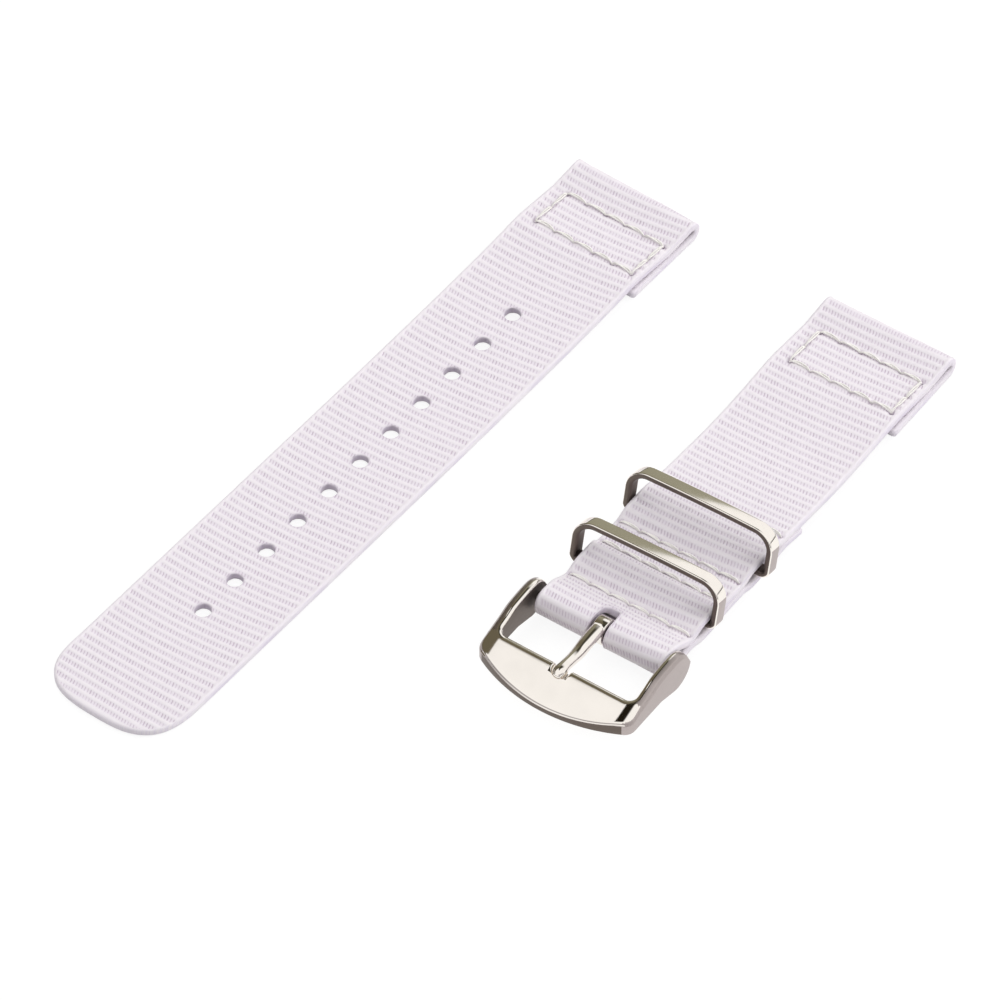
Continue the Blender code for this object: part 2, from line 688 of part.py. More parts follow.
def build_spring_bar(pivot, steel, spring_steel):
    """A tube with a sprung pin in each end; the pins' tips sit in the frame's arms."""
    outer = BAR_DIAMETER / 2
    inner = outer - TUBE_WALL
    neck = PIN_NECK_DIAMETER / 2
    lip = neck + PIN_PLAY
    collar_out = FRAME_INNER - PIN_PLAY
    collar_in = collar_out - PIN_COLLAR_LENGTH
    end = collar_in - PIN_TRAVEL - PIN_PLAY
    half_profile = [(-end, outer), (end, outer), (end, lip), (end - TUBE_LIP, lip), (end - TUBE_LIP, inner),
                    (TUBE_LIP - end, inner), (TUBE_LIP - end, lip), (-end, lip)]
    tube = loft(turned(half_profile, 20), closed=True)
    add_object("spring_bar_tube", mesh_from("spring_bar_tube", tube), pivot, steel)
    head = inner - PIN_PLAY
    head_out = end - TUBE_LIP - PIN_PLAY
    head_in = head_out - PIN_HEAD_LENGTH
    tip = PIN_TIP_DIAMETER / 2
    tip_out = FRAME_INNER + PIN_TIP_REACH
    profile = [(head_in, head), (head_out, head), (head_out, neck), (collar_in, neck),
               (collar_in, PIN_COLLAR_DIAMETER / 2), (collar_out, PIN_COLLAR_DIAMETER / 2),
               (collar_out, tip), (tip_out - tip / 2, tip), (tip_out, tip / 2)]
    for name, side in (("spring_bar_pin_left", -1), ("spring_bar_pin_right", 1)):
        rings = turned([(side * x, radius) for x, radius in profile], 16)
        add_object(name, mesh_from(name, loft(rings)), pivot, steel)
    build_coil(pivot, spring_steel, head_in - PIN_PLAY, inner)


def build_coil(pivot, material, half_length, tube_inner):
    """The coil spring that pushes the two pins apart."""
    radius = tube_inner - PIN_PLAY - COIL_WIRE / 2
    reach = half_length - COIL_WIRE / 2
    steps = COIL_TURNS * COIL_CURL_POINTS
    points = []
    for k in range(steps + 1):
        a = math.tau * k / COIL_CURL_POINTS
        points.append((reach * (2 * k / steps - 1), radius * math.cos(a), radius * math.sin(a)))
    least = min((Vector(p) - Vector(q)).length for i, p in enumerate(points)
                for q in points[i + COIL_CURL_POINTS // 2:i + 2 * COIL_CURL_POINTS])
    print(f"coil spring: least gap between turns {(least - COIL_WIRE) * 1000:.2f} mm")
    curve = bpy.data.curves.new("spring_bar_coil", "CURVE")
    curve.dimensions = "3D"
    curve.bevel_depth = COIL_WIRE / 2
    curve.bevel_resolution = 1
    curve.use_fill_caps = True
    spline = curve.splines.new("POLY")
    spline.points.add(len(points) - 1)
    for slot, point in zip(spline.points, points):
        slot.co = (*point, 1)
    add_object("spring_bar_coil", curve, pivot, material)


def centre_on_origin(pair):
    """Move the pair so that the middle of its footprint is the origin, with the table at Z = 0."""
    bpy.context.view_layer.update()
    graph = bpy.context.evaluated_depsgraph_get()
    corners = []
    for obj in bpy.data.objects:
        if obj.type in {"MESH", "CURVE"} and not obj.hide_render:
            solid = obj.evaluated_get(graph)
            mesh = solid.to_mesh()
            corners += [solid.matrix_world @ vert.co for vert in mesh.vertices]
            solid.to_mesh_clear()
    lowest = [min(corner[i] for corner in corners) for i in range(3)]
    highest = [max(corner[i] for corner in corners) for i in range(3)]
    pair.location = (-(lowest[0] + highest[0]) / 2, -(lowest[1] + highest[1]) / 2, -lowest[2])
    bpy.context.view_layer.update()


def main():
    clear_scene()
    nylon = make_material("white_nylon_webbing", (0.80, 0.77, 0.81), 0.75, 0)
    thread = make_material("ivory_thread", (0.84, 0.81, 0.74), 0.6, 0)
    polished = make_material("polished_nickel_steel", (0.78, 0.74, 0.69), 0.12, 1)
    plain_steel = make_material("plain_steel", (0.56, 0.55, 0.53), 0.3, 1)
    spring_steel = make_material("spring_steel", (0.42, 0.41, 0.40), 0.35, 1)

    pair = make_empty("strap_pair", (0, 0, 0))
    tail = make_empty("tail_half", (-TAIL_OFFSET, TAIL_AHEAD, 0), -TAIL_YAW)
    buckle = make_empty("buckle_half", (-BUCKLE_OFFSET, 0, 0), -BUCKLE_YAW)
    pivot = make_empty("bar_axis", (-FRAME_SHIFT, 0, BAR_HEIGHT))
    tail.parent = pair
    buckle.parent = pair
    pivot.parent = buckle

    tail_path = tail_stations()
    build_tail_webbing(tail, nylon, tail_path)
    build_box_stitching("tail_box", tail, thread, tail_path, TAIL_LUG_REACH)

    buckle_path = buckle_stations()
    build_buckle_webbing(buckle, pivot, nylon, buckle_path)
    build_box_stitching("buckle_box", buckle, thread, buckle_path, BUCKLE_LUG_REACH)
    rows = (("bar_row", ROW_BY_BAR), ("lower_keeper_row", ROW_ABOVE_LOWER),
            ("upper_keeper_row", ROW_BELOW_UPPER), ("fold_end_row", ROW_BY_FOLD_END))
    for name, y in rows:
        build_row_stitching(name, buckle, thread, buckle_path, y)

    pocket_middle = WEB_THICK + POCKET_HEIGHT / 2
    lower_place = (LOWER_KEEPER_SHIFT, LOWER_KEEPER_AT, pocket_middle + LOWER_POCKET_LIFT)
    upper_place = (UPPER_KEEPER_SHIFT, UPPER_KEEPER_AT, pocket_middle)
    build_keeper("keeper_lower", buckle, polished, lower_place, LOWER_KEEPER_YAW)
    build_keeper("keeper_upper", buckle, polished, upper_place, UPPER_KEEPER_YAW)
    build_buckle_frame(pivot, polished)
    build_tang(pivot, polished)
    build_spring_bar(pivot, plain_steel, spring_steel)
    centre_on_origin(pair)


main()
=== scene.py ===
"""Looks for the white nylon watch strap: webbing, sewing thread, polished hardware, light and camera."""

import json
import math

import bmesh
import bpy
import numpy as np
from mathutils import Matrix, Vector


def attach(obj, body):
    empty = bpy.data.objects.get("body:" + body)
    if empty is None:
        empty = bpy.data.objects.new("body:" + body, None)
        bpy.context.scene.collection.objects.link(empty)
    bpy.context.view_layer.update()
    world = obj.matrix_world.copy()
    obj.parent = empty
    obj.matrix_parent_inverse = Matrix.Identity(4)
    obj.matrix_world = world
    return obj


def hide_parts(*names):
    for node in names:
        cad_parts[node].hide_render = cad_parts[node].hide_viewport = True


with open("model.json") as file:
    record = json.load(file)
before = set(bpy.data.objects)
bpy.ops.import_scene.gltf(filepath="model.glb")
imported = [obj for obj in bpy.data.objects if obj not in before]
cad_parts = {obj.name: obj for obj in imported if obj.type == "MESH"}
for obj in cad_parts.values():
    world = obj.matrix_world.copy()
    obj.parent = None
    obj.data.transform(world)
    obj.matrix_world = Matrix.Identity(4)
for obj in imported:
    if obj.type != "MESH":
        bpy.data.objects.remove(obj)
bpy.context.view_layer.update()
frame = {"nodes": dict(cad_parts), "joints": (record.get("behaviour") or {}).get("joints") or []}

# Webbing in metres. The stitch rows reach nearer the selvedge than the solids, the rest is as in the CAD
WEB_WIDTH = 0.0223
WEB_THICK = 0.00125
LAYER_GAP = 0.00015
LUG_VOID = 0.0012
LUG_LOOP_DEPTH = 0.0070
BOX_LENGTH = 0.0075
BOX_INSET = 0.00215
FLAP_OVERHANG = 0.0017
FLAP_SKEW = 0.00065
TAIL_LUG_REACH = 0.0312
TAIL_TIP_REACH = 0.0983
TIP_ROUNDING = 0.0104
TIP_POWER = 3.0
TIP_SKEW = 0.0003
DROOP_LENGTH = 0.0440
DROOP_SHARES = ((0.00, 1.00), (0.07, 0.76), (0.20, 0.50), (0.45, 0.24), (0.73, 0.09), (1.00, 0.00))
HOLE_COUNT = 11
HOLE_PITCH = 0.00735
HOLE_DIAMETER = 0.0026
HOLE_SHIFT = 0.0002
TAIL_YAW = math.radians(2.89)
TAIL_OFFSET = 0.0480
TAIL_AHEAD = 0.0452
BUCKLE_YAW = math.radians(0.3)
BUCKLE_OFFSET = 0.00025
BUCKLE_LUG_REACH = 0.0745
FOLD_END = 0.0342
LOWER_KEEPER_AT = 0.0105
UPPER_KEEPER_AT = 0.0233
ROW_BY_BAR = 0.0060
ROW_ABOVE_LOWER = 0.01405
ROW_BELOW_UPPER = 0.0188
ROW_BY_FOLD_END = 0.0297
PINCH_LIFT = 0.0007
BAR_ROW_LIFT = 0.0010
LOWER_POCKET_LIFT = 0.0003
POCKET_HEIGHT = 0.0017
POCKET_HALF_LENGTH = 0.0016
ARCH_HEIGHT = 0.0008
ROW_INSET = 0.0007

# Even steps along the middle line of the webbing
PATH_STEP = 0.00005

# Hardware, as in the CAD but for a thicker tang that laps the plate less, a larger slot, rounder keeper
# corners, and the rolls and crowns of the edges
BAR_DIAMETER = 0.0016
BAR_CLEARANCE = 0.00025
PIN_TIP_REACH = 0.0009
PIN_TIP_RADIUS = 0.00055
LOBE_RADIUS = 0.0033
LOBE_OFFSET = 0.0009
FRAME_SHIFT = 0.00025
FRAME_REACH = 0.0164
PLATE_DEPTH = 0.0066
FRONT_SAG = 0.0036
ARM_CLEARANCE = 0.0005
ARM_THICK = 0.00175
FRAME_CORNER = 0.0018
WINDOW_CORNER = 0.0012
FRAME_ROUNDING = 0.0004
INNER_ROLL = (0.00095, 0.00062)
OUTER_ROLL = (0.00050, 0.00022)
CORNER_ROLL = (0.0024, 0.00060)
EDGE_ROUNDING = 0.00018
SEAT_FLARE = 0.00042
FRAME_TOP_SHARES = ((0.14, 1.00), (0.32, 0.90), (0.45, 0.67), (0.57, 0.49), (0.67, 0.33), (1.00, -0.28))
FRAME_BASE_SHARES = ((0.30, -0.71), (0.60, -0.71), (1.00, -0.70))
TANG_DIAMETER = 0.0022
TANG_EYE_DIAMETER = 0.0042
TANG_EYE_ROUNDING = 0.0003
TANG_LAP = 0.0018
TANG_SHIFT = 0.0003
TANG_SEAT_GAP = 0.00025
SEAT_OVERSHOOT = 0.002
TANG_ROOT = 0.69 * BAR_DIAMETER
TANG_HEIGHT_SHARES = ((0.00, 0.57), (0.20, 0.58), (0.38, 0.50), (0.52, 0.38), (0.66, 0.42), (0.82, 0.52),
                      (0.93, 0.46), (1.00, 0.34))
TANG_GIRTH_SHARES = (1.00, 1.00, 0.99, 0.95, 0.86, 0.84, 0.98, 0.70)
SLOT_WIDTH = 0.0030
SLOT_REACH = 0.0028
KEEPER_SIDE_GAP = 0.00045
KEEPER_HEIGHT = 0.0083
KEEPER_BAND = 0.0023
KEEPER_THICK = 0.0011
KEEPER_CORNER = 0.0036
KEEPER_FOOT_CORNER = 0.0015
KEEPER_EDGES = (0.00024, 0.00045)
KEEPER_STEP = 0.0009
KEEPER_INNER_POINTS = (17, 28)
KEEPER_CROWN = 0.000045
KEEPER_BOW = 0.00012
KEEPER_LEAN = math.radians(12)
KEEPER_YAW = math.radians(1.2)
LOWER_KEEPER_SHIFT = -0.0003
UPPER_KEEPER_SHIFT = 0.0003

# Material numbers of the frame and the keepers, in the order of their finishes; the second is nickel painted
# dark as shade, for inner and front faces
POLISHED = 0
PAINTED_SHADE = 1
BRUSHED = 2

# Margin for telling which wall of the frame a face is on
FINISH_MARGIN = 0.0002

BAR_HEIGHT = LOBE_RADIUS
HALF_THICK = WEB_THICK / 2
HALF_WIDTH = WEB_WIDTH / 2
DOUBLED = 1.5 * WEB_THICK + LAYER_GAP
LUG_ARC = (LUG_VOID + WEB_THICK) / 2
BAR_ARC = BAR_DIAMETER / 2 + BAR_CLEARANCE + HALF_THICK
FRAME_INNER = HALF_WIDTH + ARM_CLEARANCE
FRAME_OUTER = FRAME_INNER + ARM_THICK
PLATE_BACK = FRAME_REACH - PLATE_DEPTH
TANG_LENGTH = PLATE_BACK + TANG_LAP
KEEPER_WIDTH = WEB_WIDTH + 2 * (KEEPER_SIDE_GAP + KEEPER_THICK)
BOX_HALF_WIDTH = HALF_WIDTH - BOX_INSET
ROW_HALF_WIDTH = HALF_WIDTH - ROW_INSET

# Weave: yarns lie along the webbing, ribs across it, and neighbouring ribs are half a yarn out of step
YARN = 0.000516
RIB = 0.001345
SLANT = 0.37
TICK_DEPTH = 0.00008
RIB_DEPTH = 0.00012
BOW_LEAN = 0.069
BOW_BEND = 4.7
BOW_FADE = 0.022
BUCKLE_BOW_SHARE = 0.55
OPENING_REACH = 3
OPENING_EASE = 0.00006
CELL_KEPT = 0.88
EDGE_INSET = 0.00045
EDGE_SMOOTH = 0.0003
EDGE_PLAIN = 0.0005
STITCH_LENGTH = 0.0036
STITCH_SHIFT = 0.0004
STITCH_SINK = 0.0003
STITCH_RISE = 0.0004
THREAD_PLY = 0.00013
PLY_TWIST = 0.0034
BOX_BOW = -0.00025
ROW_BOW = -0.00022
BOBBIN_BOW = 0.0001
NEEDLE_RADIUS = 0.00027
NEEDLE_DEPTH = 0.0003
GROOVE_RADIUS = 0.0003
TOP_GROOVE = 0.00005
FLAP_GROOVE = 0.0004
UPPER_LIFT = 0.00005
FLAP_LIFT = -FLAP_GROOVE - 0.00008

# Camera
CAMERA_AZIMUTH = math.radians(34.663)
CAMERA_ELEVATION = math.radians(47.904)
CAMERA_DISTANCE = 1.4
CAMERA_LENS = 344.49
CAMERA_AIM = (-0.029007, 0.01477)

# Studio. Each softbox has a name, a place, a side length and a radiance
SKY_LEVEL = 0.62
FLOOR_GAP = 0.0003
SOFTBOXES = (("overhead_softbox", (-0.45, 0.10, 0.95), 1.0, 1.86),
             ("side_softbox", (0.80, 0.60, 0.62), 0.8, 2.95))


# Paths of the webbing

def heading(degrees):
    a = math.radians(degrees)
    return math.cos(a), math.sin(a)


def arc(centre, radius, start, end, count):
    headings = [heading(start + (end - start) * k / count) for k in range(count + 1)]
    return [(centre[0] + radius * x, centre[1] + radius * y) for x, y in headings]


def between(start, end, share):
    return tuple(a + (b - a) * share for a, b in zip(start, end))


def unshifted(points):
    """Stations without a sideways shift."""
    return [(y, z, 0) for y, z in points]


def smooth_through(keys, cuts):
    """Catmull-Rom points through the keys."""
    points = []
    for i in range(len(keys) - 1):
        before = keys[max(i - 1, 0)]
        start = keys[i]
        end = keys[i + 1]
        after = keys[min(i + 2, len(keys) - 1)]
        for k in range(cuts):
            t = k / cuts
            point = []
            for a, b, c, d in zip(before, start, end, after):
                bend = 2 * a - 5 * b + 4 * c - d
                swing = 3 * b - a - 3 * c + d
                point.append((2 * b + (c - a) * t + bend * t * t + swing * t ** 3) / 2)
            points.append(tuple(point))
    points.append(tuple(keys[-1]))
    return points


def eased_through(keys, cuts):
    """Points through (y, height) keys that never rise or dip past a key."""
    steps = [(b[1] - a[1]) / (b[0] - a[0]) for a, b in zip(keys, keys[1:])]
    slopes = [steps[0]]
    for left, right in zip(steps, steps[1:]):
        slopes.append(2 * left * right / (left + right) if left * right > 0 else 0)
    slopes.append(steps[-1])
    points = []
    for (y0, z0), (y1, z1), m0, m1 in zip(keys, keys[1:], slopes, slopes[1:]):
        for k in range(cuts):
            t = k / cuts
            rise = (y1 - y0) * (m0 * (t - 2 * t ** 2 + t ** 3) + m1 * (t ** 3 - t ** 2))
            points.append((y0 + (y1 - y0) * t, z0 + (z1 - z0) * (3 * t ** 2 - 2 * t ** 3) + rise))
    points.append(tuple(keys[-1]))
    return points


def lug_end(lug_reach):
    """Stations (y, z, sideways shift) of a lug end: flap and loop, then the layer above the flap."""
    loop_centre = lug_reach - LUG_ARC - HALF_THICK
    row_near = lug_reach - LUG_LOOP_DEPTH
    row_far = row_near - BOX_LENGTH
    flap_end = row_far - FLAP_OVERHANG
    loop_height = HALF_THICK + LUG_ARC
    under = [(flap_end, HALF_THICK, FLAP_SKEW), (row_near, HALF_THICK, FLAP_SKEW)]
    bend = [(y, z, FLAP_SKEW) for y, z in arc((loop_centre, loop_height), LUG_ARC, -90, 90, 40)]
    over = []
    for y, z in eased_through([(loop_centre, loop_height + LUG_ARC), (row_near, DOUBLED)], 30)[1:]:
        over.append((y, z, FLAP_SKEW * (y - row_far) / (loop_centre - row_far)))
    over.append((row_far, DOUBLED, 0))
    over.append((flap_end, DOUBLED, 0))
    return under + bend, over


def tail_stations():
    under, over = lug_end(TAIL_LUG_REACH)
    start = over[-1][0]
    drop = DOUBLED - HALF_THICK
    keys = [(start - DROOP_LENGTH * along, HALF_THICK + drop * up) for along, up in DROOP_SHARES]
    tip = [(TIP_ROUNDING - TAIL_TIP_REACH, HALF_THICK, 0),
           (EDGE_INSET - TAIL_TIP_REACH, HALF_THICK, -TIP_SKEW)]
    return under + over[:-1] + unshifted(eased_through(keys, 20)) + tip


def buckle_layers():
    """Keys from the fold's end to the bar row: (y, lift of the under layer, room between the layers)."""
    return [(FOLD_END, 0, 2 * LAYER_GAP),
            (ROW_BY_FOLD_END, PINCH_LIFT, LAYER_GAP),
            (UPPER_KEEPER_AT + POCKET_HALF_LENGTH, 0, POCKET_HEIGHT),
            (UPPER_KEEPER_AT - POCKET_HALF_LENGTH, 0, POCKET_HEIGHT),
            (ROW_BELOW_UPPER, PINCH_LIFT, LAYER_GAP),
            (ROW_ABOVE_LOWER, PINCH_LIFT, LAYER_GAP),
            (LOWER_KEEPER_AT + POCKET_HALF_LENGTH, LOWER_POCKET_LIFT, POCKET_HEIGHT),
            (LOWER_KEEPER_AT - POCKET_HALF_LENGTH, LOWER_POCKET_LIFT, POCKET_HEIGHT),
            (ROW_BY_BAR, BAR_ROW_LIFT, LAYER_GAP)]


def buckle_stations():
    under, over = lug_end(BUCKLE_LUG_REACH)
    flap_end = over[-1][0]
    upper = [over[-1][:2], ((flap_end + FOLD_END) / 2, HALF_THICK + ARCH_HEIGHT)]
    upper += [(y, lift + room + 3 * HALF_THICK) for y, lift, room in buckle_layers()]
    upper += [(BAR_ARC, BAR_HEIGHT + BAR_ARC - LAYER_GAP), (0, BAR_HEIGHT + BAR_ARC)]
    lower = [(0, BAR_HEIGHT - BAR_ARC), (BAR_ARC, BAR_HEIGHT - BAR_ARC - LAYER_GAP)]
    lower += [(y, HALF_THICK + lift) for y, lift, _ in reversed(buckle_layers())]
    bend = arc((0, BAR_HEIGHT), BAR_ARC, 90, 270, 60)
    return under + over[:-1] + unshifted(eased_through(upper, 24)[:-1] + bend + eased_through(lower, 24)[1:])


class Path:
    """The middle line of a webbing, by length along it. Its outer face is on the left of its direction."""

    def __init__(self, stations, place):
        points = np.array(stations, float)
        steps = np.linalg.norm(np.diff(points[:, :2], axis=0), axis=1)
        keep = np.concatenate(([True], steps > 1e-7))
        points = points[keep]
        rough = np.concatenate(([0], np.cumsum(np.linalg.norm(np.diff(points[:, :2], axis=0), axis=1))))
        even = np.linspace(0, rough[-1], int(rough[-1] / PATH_STEP) + 1)
        columns = [np.interp(even, rough, points[:, i]) for i in range(3)]
        blur = np.ones(7) / 7
        smooth = []
        for column in columns:
            before = 2 * column[0] - column[3:0:-1]
            after = 2 * column[-1] - column[-2:-5:-1]
            smooth.append(np.convolve(np.concatenate((before, column, after)), blur, "valid"))
        self.y, self.z, self.shift = smooth
        along = np.hypot(np.diff(self.y), np.diff(self.z))
        self.s = np.concatenate(([0], np.cumsum(along)))
        self.length = self.s[-1]
        slope_y = np.gradient(self.y, self.s)
        slope_z = np.gradient(self.z, self.s)
        size = np.hypot(slope_y, slope_z)
        self.normal_y = slope_z / size
        self.normal_z = -slope_y / size
        self.place = place

    def lift(self, u, s, w):
        """World points of places across, along and out of the webbing."""
        u, s, w = (np.asarray(value, float) for value in (u, s, w))
        ny = np.interp(s, self.s, self.normal_y)
        nz = np.interp(s, self.s, self.normal_z)
        beyond = np.where(s > self.length, s - self.length, np.where(s < 0, s, 0))
        x = u + np.interp(s, self.s, self.shift)
        y = np.interp(s, self.s, self.y) + ny * w - nz * beyond
        z = np.interp(s, self.s, self.z) + nz * w + ny * beyond
        local = np.stack((x, y, z), axis=-1)
        turn = np.array(self.place.to_3x3())
        return local @ turn.T + np.array(self.place.translation)

    def find(self, y, topmost):
        """Length along the path at which it passes y on its top or bottom layer."""
        near = np.abs(self.y - y) < 0.0001
        heights = np.where(near, self.z, -1 if topmost else 1)
        best = np.argmax(heights) if topmost else np.argmin(heights)
        layer = near & (np.abs(self.z - self.z[best]) < 0.0004)
        spots = np.flatnonzero(layer)
        return self.s[spots[np.argmin(np.abs(self.y[spots] - y))]]


# Weave

def random_share(a, b):
    """A repeatable number from 0 to 1 for each pair of whole numbers."""
    mixed = np.sin(a * 127.1 + b * 311.7) * 43758.5453
    return mixed - np.floor(mixed)


def weave_relief(u, s, slant):
    """Depth of the woven face: the gaps between yarns, in the hollow between one rib and the next."""
    row = np.floor(s / RIB + 1e-6)
    phase = s / RIB - row
    x = u / YARN + 0.5 * (row % 2) + slant * RIB / YARN * (phase - 0.5)
    tick = np.floor(x + 0.5)
    gap = np.clip(1 - np.abs(x - tick) / 0.26, 0, 1)
    hollow = np.sin(np.pi * np.clip(phase, 0, 1)) ** 2
    window = np.where(row % 2 == 0, hollow, hollow ** 2)
    strength = (0.7 + 0.6 * random_share(tick, row)) * np.where(row % 2 == 0, 1, 0.75)
    return -TICK_DEPTH * gap * window * strength - RIB_DEPTH * hollow


def rib_bow(u, s, length, level):
    """How far the ribs run off square across the webbing, which fades towards its cut ends."""
    ends = smoothstep(0, BOW_FADE, s) * smoothstep(0, BOW_FADE, length - s)
    return level * ends * (BOW_LEAN * u + BOW_BEND * u * u)


def zigzag(s, slant):
    """Sideways shift of the mesh columns at s, so that they follow the slanted gaps."""
    row = np.floor(s / RIB + 1e-6)
    phase = s / RIB - row
    return np.where(phase < 0.1, 0, -slant * RIB * (phase - 0.5))


def smoothstep(low, high, value):
    t = np.clip((value - low) / (high - low), 0, 1)
    return t * t * (3 - 2 * t)


class Opening:
    """A hole or slot through the webbing, round or longer than wide, whose edge the yarns bend round."""

    def __init__(self, u, s, half_width, half_length, power, seed):
        self.u = u
        self.s = s
        self.half_width = half_width
        self.half_length = half_length
        self.power = power
        self.seed = seed

    def measure(self, u, s):
        across = np.abs((u - self.u) / self.half_width) ** self.power
        along = np.abs((s - self.s) / self.half_length) ** self.power
        return (across + along) ** (1 / self.power)

    def warp(self, u, s):
        near = self.measure(u, s)
        scale = np.where(near < OPENING_REACH, (near ** 8 + 1) ** (1 / 8) / np.maximum(near, 0.05), 1)
        return self.u + (u - self.u) * scale, self.s + (s - self.s) * scale

    def rim(self, count, inset, wobble):
        """Points round the opening, starting at its far end and turning towards +u."""
        points = []
        for k in range(count):
            a = math.tau * k / count
            direction = (math.sin(a), math.cos(a))
            size = (abs(direction[0]) ** self.power + abs(direction[1]) ** self.power) ** (1 / self.power)
            rough = wobble * (math.sin(3 * a + self.seed * 2.1) + 0.6 * math.sin(7 * a + self.seed * 5.3))
            u = (self.half_width - inset + rough) * direction[0] / size
            s = (self.half_length - inset + rough) * direction[1] / size
            points.append((self.u + u, self.s + s))
        return points


class Builder:
    """Collects the points and faces of a webbing in flat places (u, s, w) and lifts them along its path."""

    def __init__(self, path):
        self.path = path
        self.points = []
        self.flat = []
        self.marks = []
        self.faces = []

    def add(self, u, s, w, pattern_u=None, pattern_s=None, edge=0.0, shade=0.0):
        self.points.append((u, s, w))
        self.flat.append((u if pattern_u is None else pattern_u, s if pattern_s is None else pattern_s))
        self.marks.append((edge, shade))
        return len(self.points) - 1

    def zip_chains(self, one, other, flip):
        """Faces between two closed chains of (share of the way round, point)."""
        one = one + [(1.0, one[0][1])]
        other = other + [(1.0, other[0][1])]
        i = 0
        j = 0
        while i + 1 < len(one) or j + 1 < len(other):
            corners = [one[i][1]]
            last = other[j][1]
            next_one = one[i + 1][0] if i + 1 < len(one) else 9
            next_other = other[j + 1][0] if j + 1 < len(other) else 9
            level = abs(next_one - next_other) < 1e-6
            if level or next_one < next_other:
                i += 1
                corners.append(one[i][1])
            if level or next_one >= next_other:
                j += 1
                corners.append(other[j][1])
            corners.append(last)
            self.faces.append(corners[::-1] if flip else corners)

    def zip_all(self, chains, flip):
        for one, other in zip(chains, chains[1:]):
            self.zip_chains(one, other, flip)

    def mesh(self, name):
        points = np.array(self.points)
        world = self.path.lift(points[:, 0], points[:, 1], points[:, 2])
        data = bpy.data.meshes.new(name)
        data.from_pydata(world.tolist(), [], self.faces)
        flat = np.array(self.flat)
        marks = np.array(self.marks)
        corner_points = np.empty(len(data.loops), np.int32)
        data.loops.foreach_get("vertex_index", corner_points)
        layer = data.uv_layers.new(name="weave")
        weave = np.stack((flat[:, 0] / YARN, flat[:, 1] / RIB), axis=1)[corner_points]
        layer.data.foreach_set("uv", weave.ravel().astype(np.float32))
        for label, column in (("edge", 0), ("shade", 1)):
            attribute = data.attributes.new(label, "FLOAT", "POINT")
            attribute.data.foreach_set("value", marks[:, column].astype(np.float32))
        return data


def grid_places(columns, rows, tip_start):
    """Flat places of a face's grid; the tail's tip is drawn in from a square end to a rounded one."""
    u, s = np.meshgrid(columns, rows)
    if tip_start:
        along = np.clip((s - tip_start) / (rows[-1] - tip_start), 0, 1)
        across = np.abs(u) / columns[-1]
        square = np.maximum(np.maximum(across, along), 1e-6)
        round_size = (across ** TIP_POWER + along ** TIP_POWER) ** (1 / TIP_POWER)
        draw = 1 + smoothstep(0.3, 1.0, square) * (square / np.maximum(round_size, 1e-6) - 1)
        inside = s > tip_start
        u = np.where(inside, u * draw, u)
        s = np.where(inside, tip_start + (s - tip_start) * draw, s)
    return u, s


def groove_depth(u, s, grooves):
    """How deep the thread presses the face in along its lines, each (u, s, end u, end s, depth)."""
    total = np.zeros(u.shape)
    for start_u, start_s, end_u, end_s, depth in grooves:
        run_u = end_u - start_u
        run_s = end_s - start_s
        t = np.clip(((u - start_u) * run_u + (s - start_s) * run_s) / (run_u ** 2 + run_s ** 2), 0, 1)
        away = (u - start_u - t * run_u) ** 2 + (s - start_s - t * run_s) ** 2
        total = np.maximum(total, depth * np.exp(-away / (2 * GROOVE_RADIUS ** 2)))
    return total


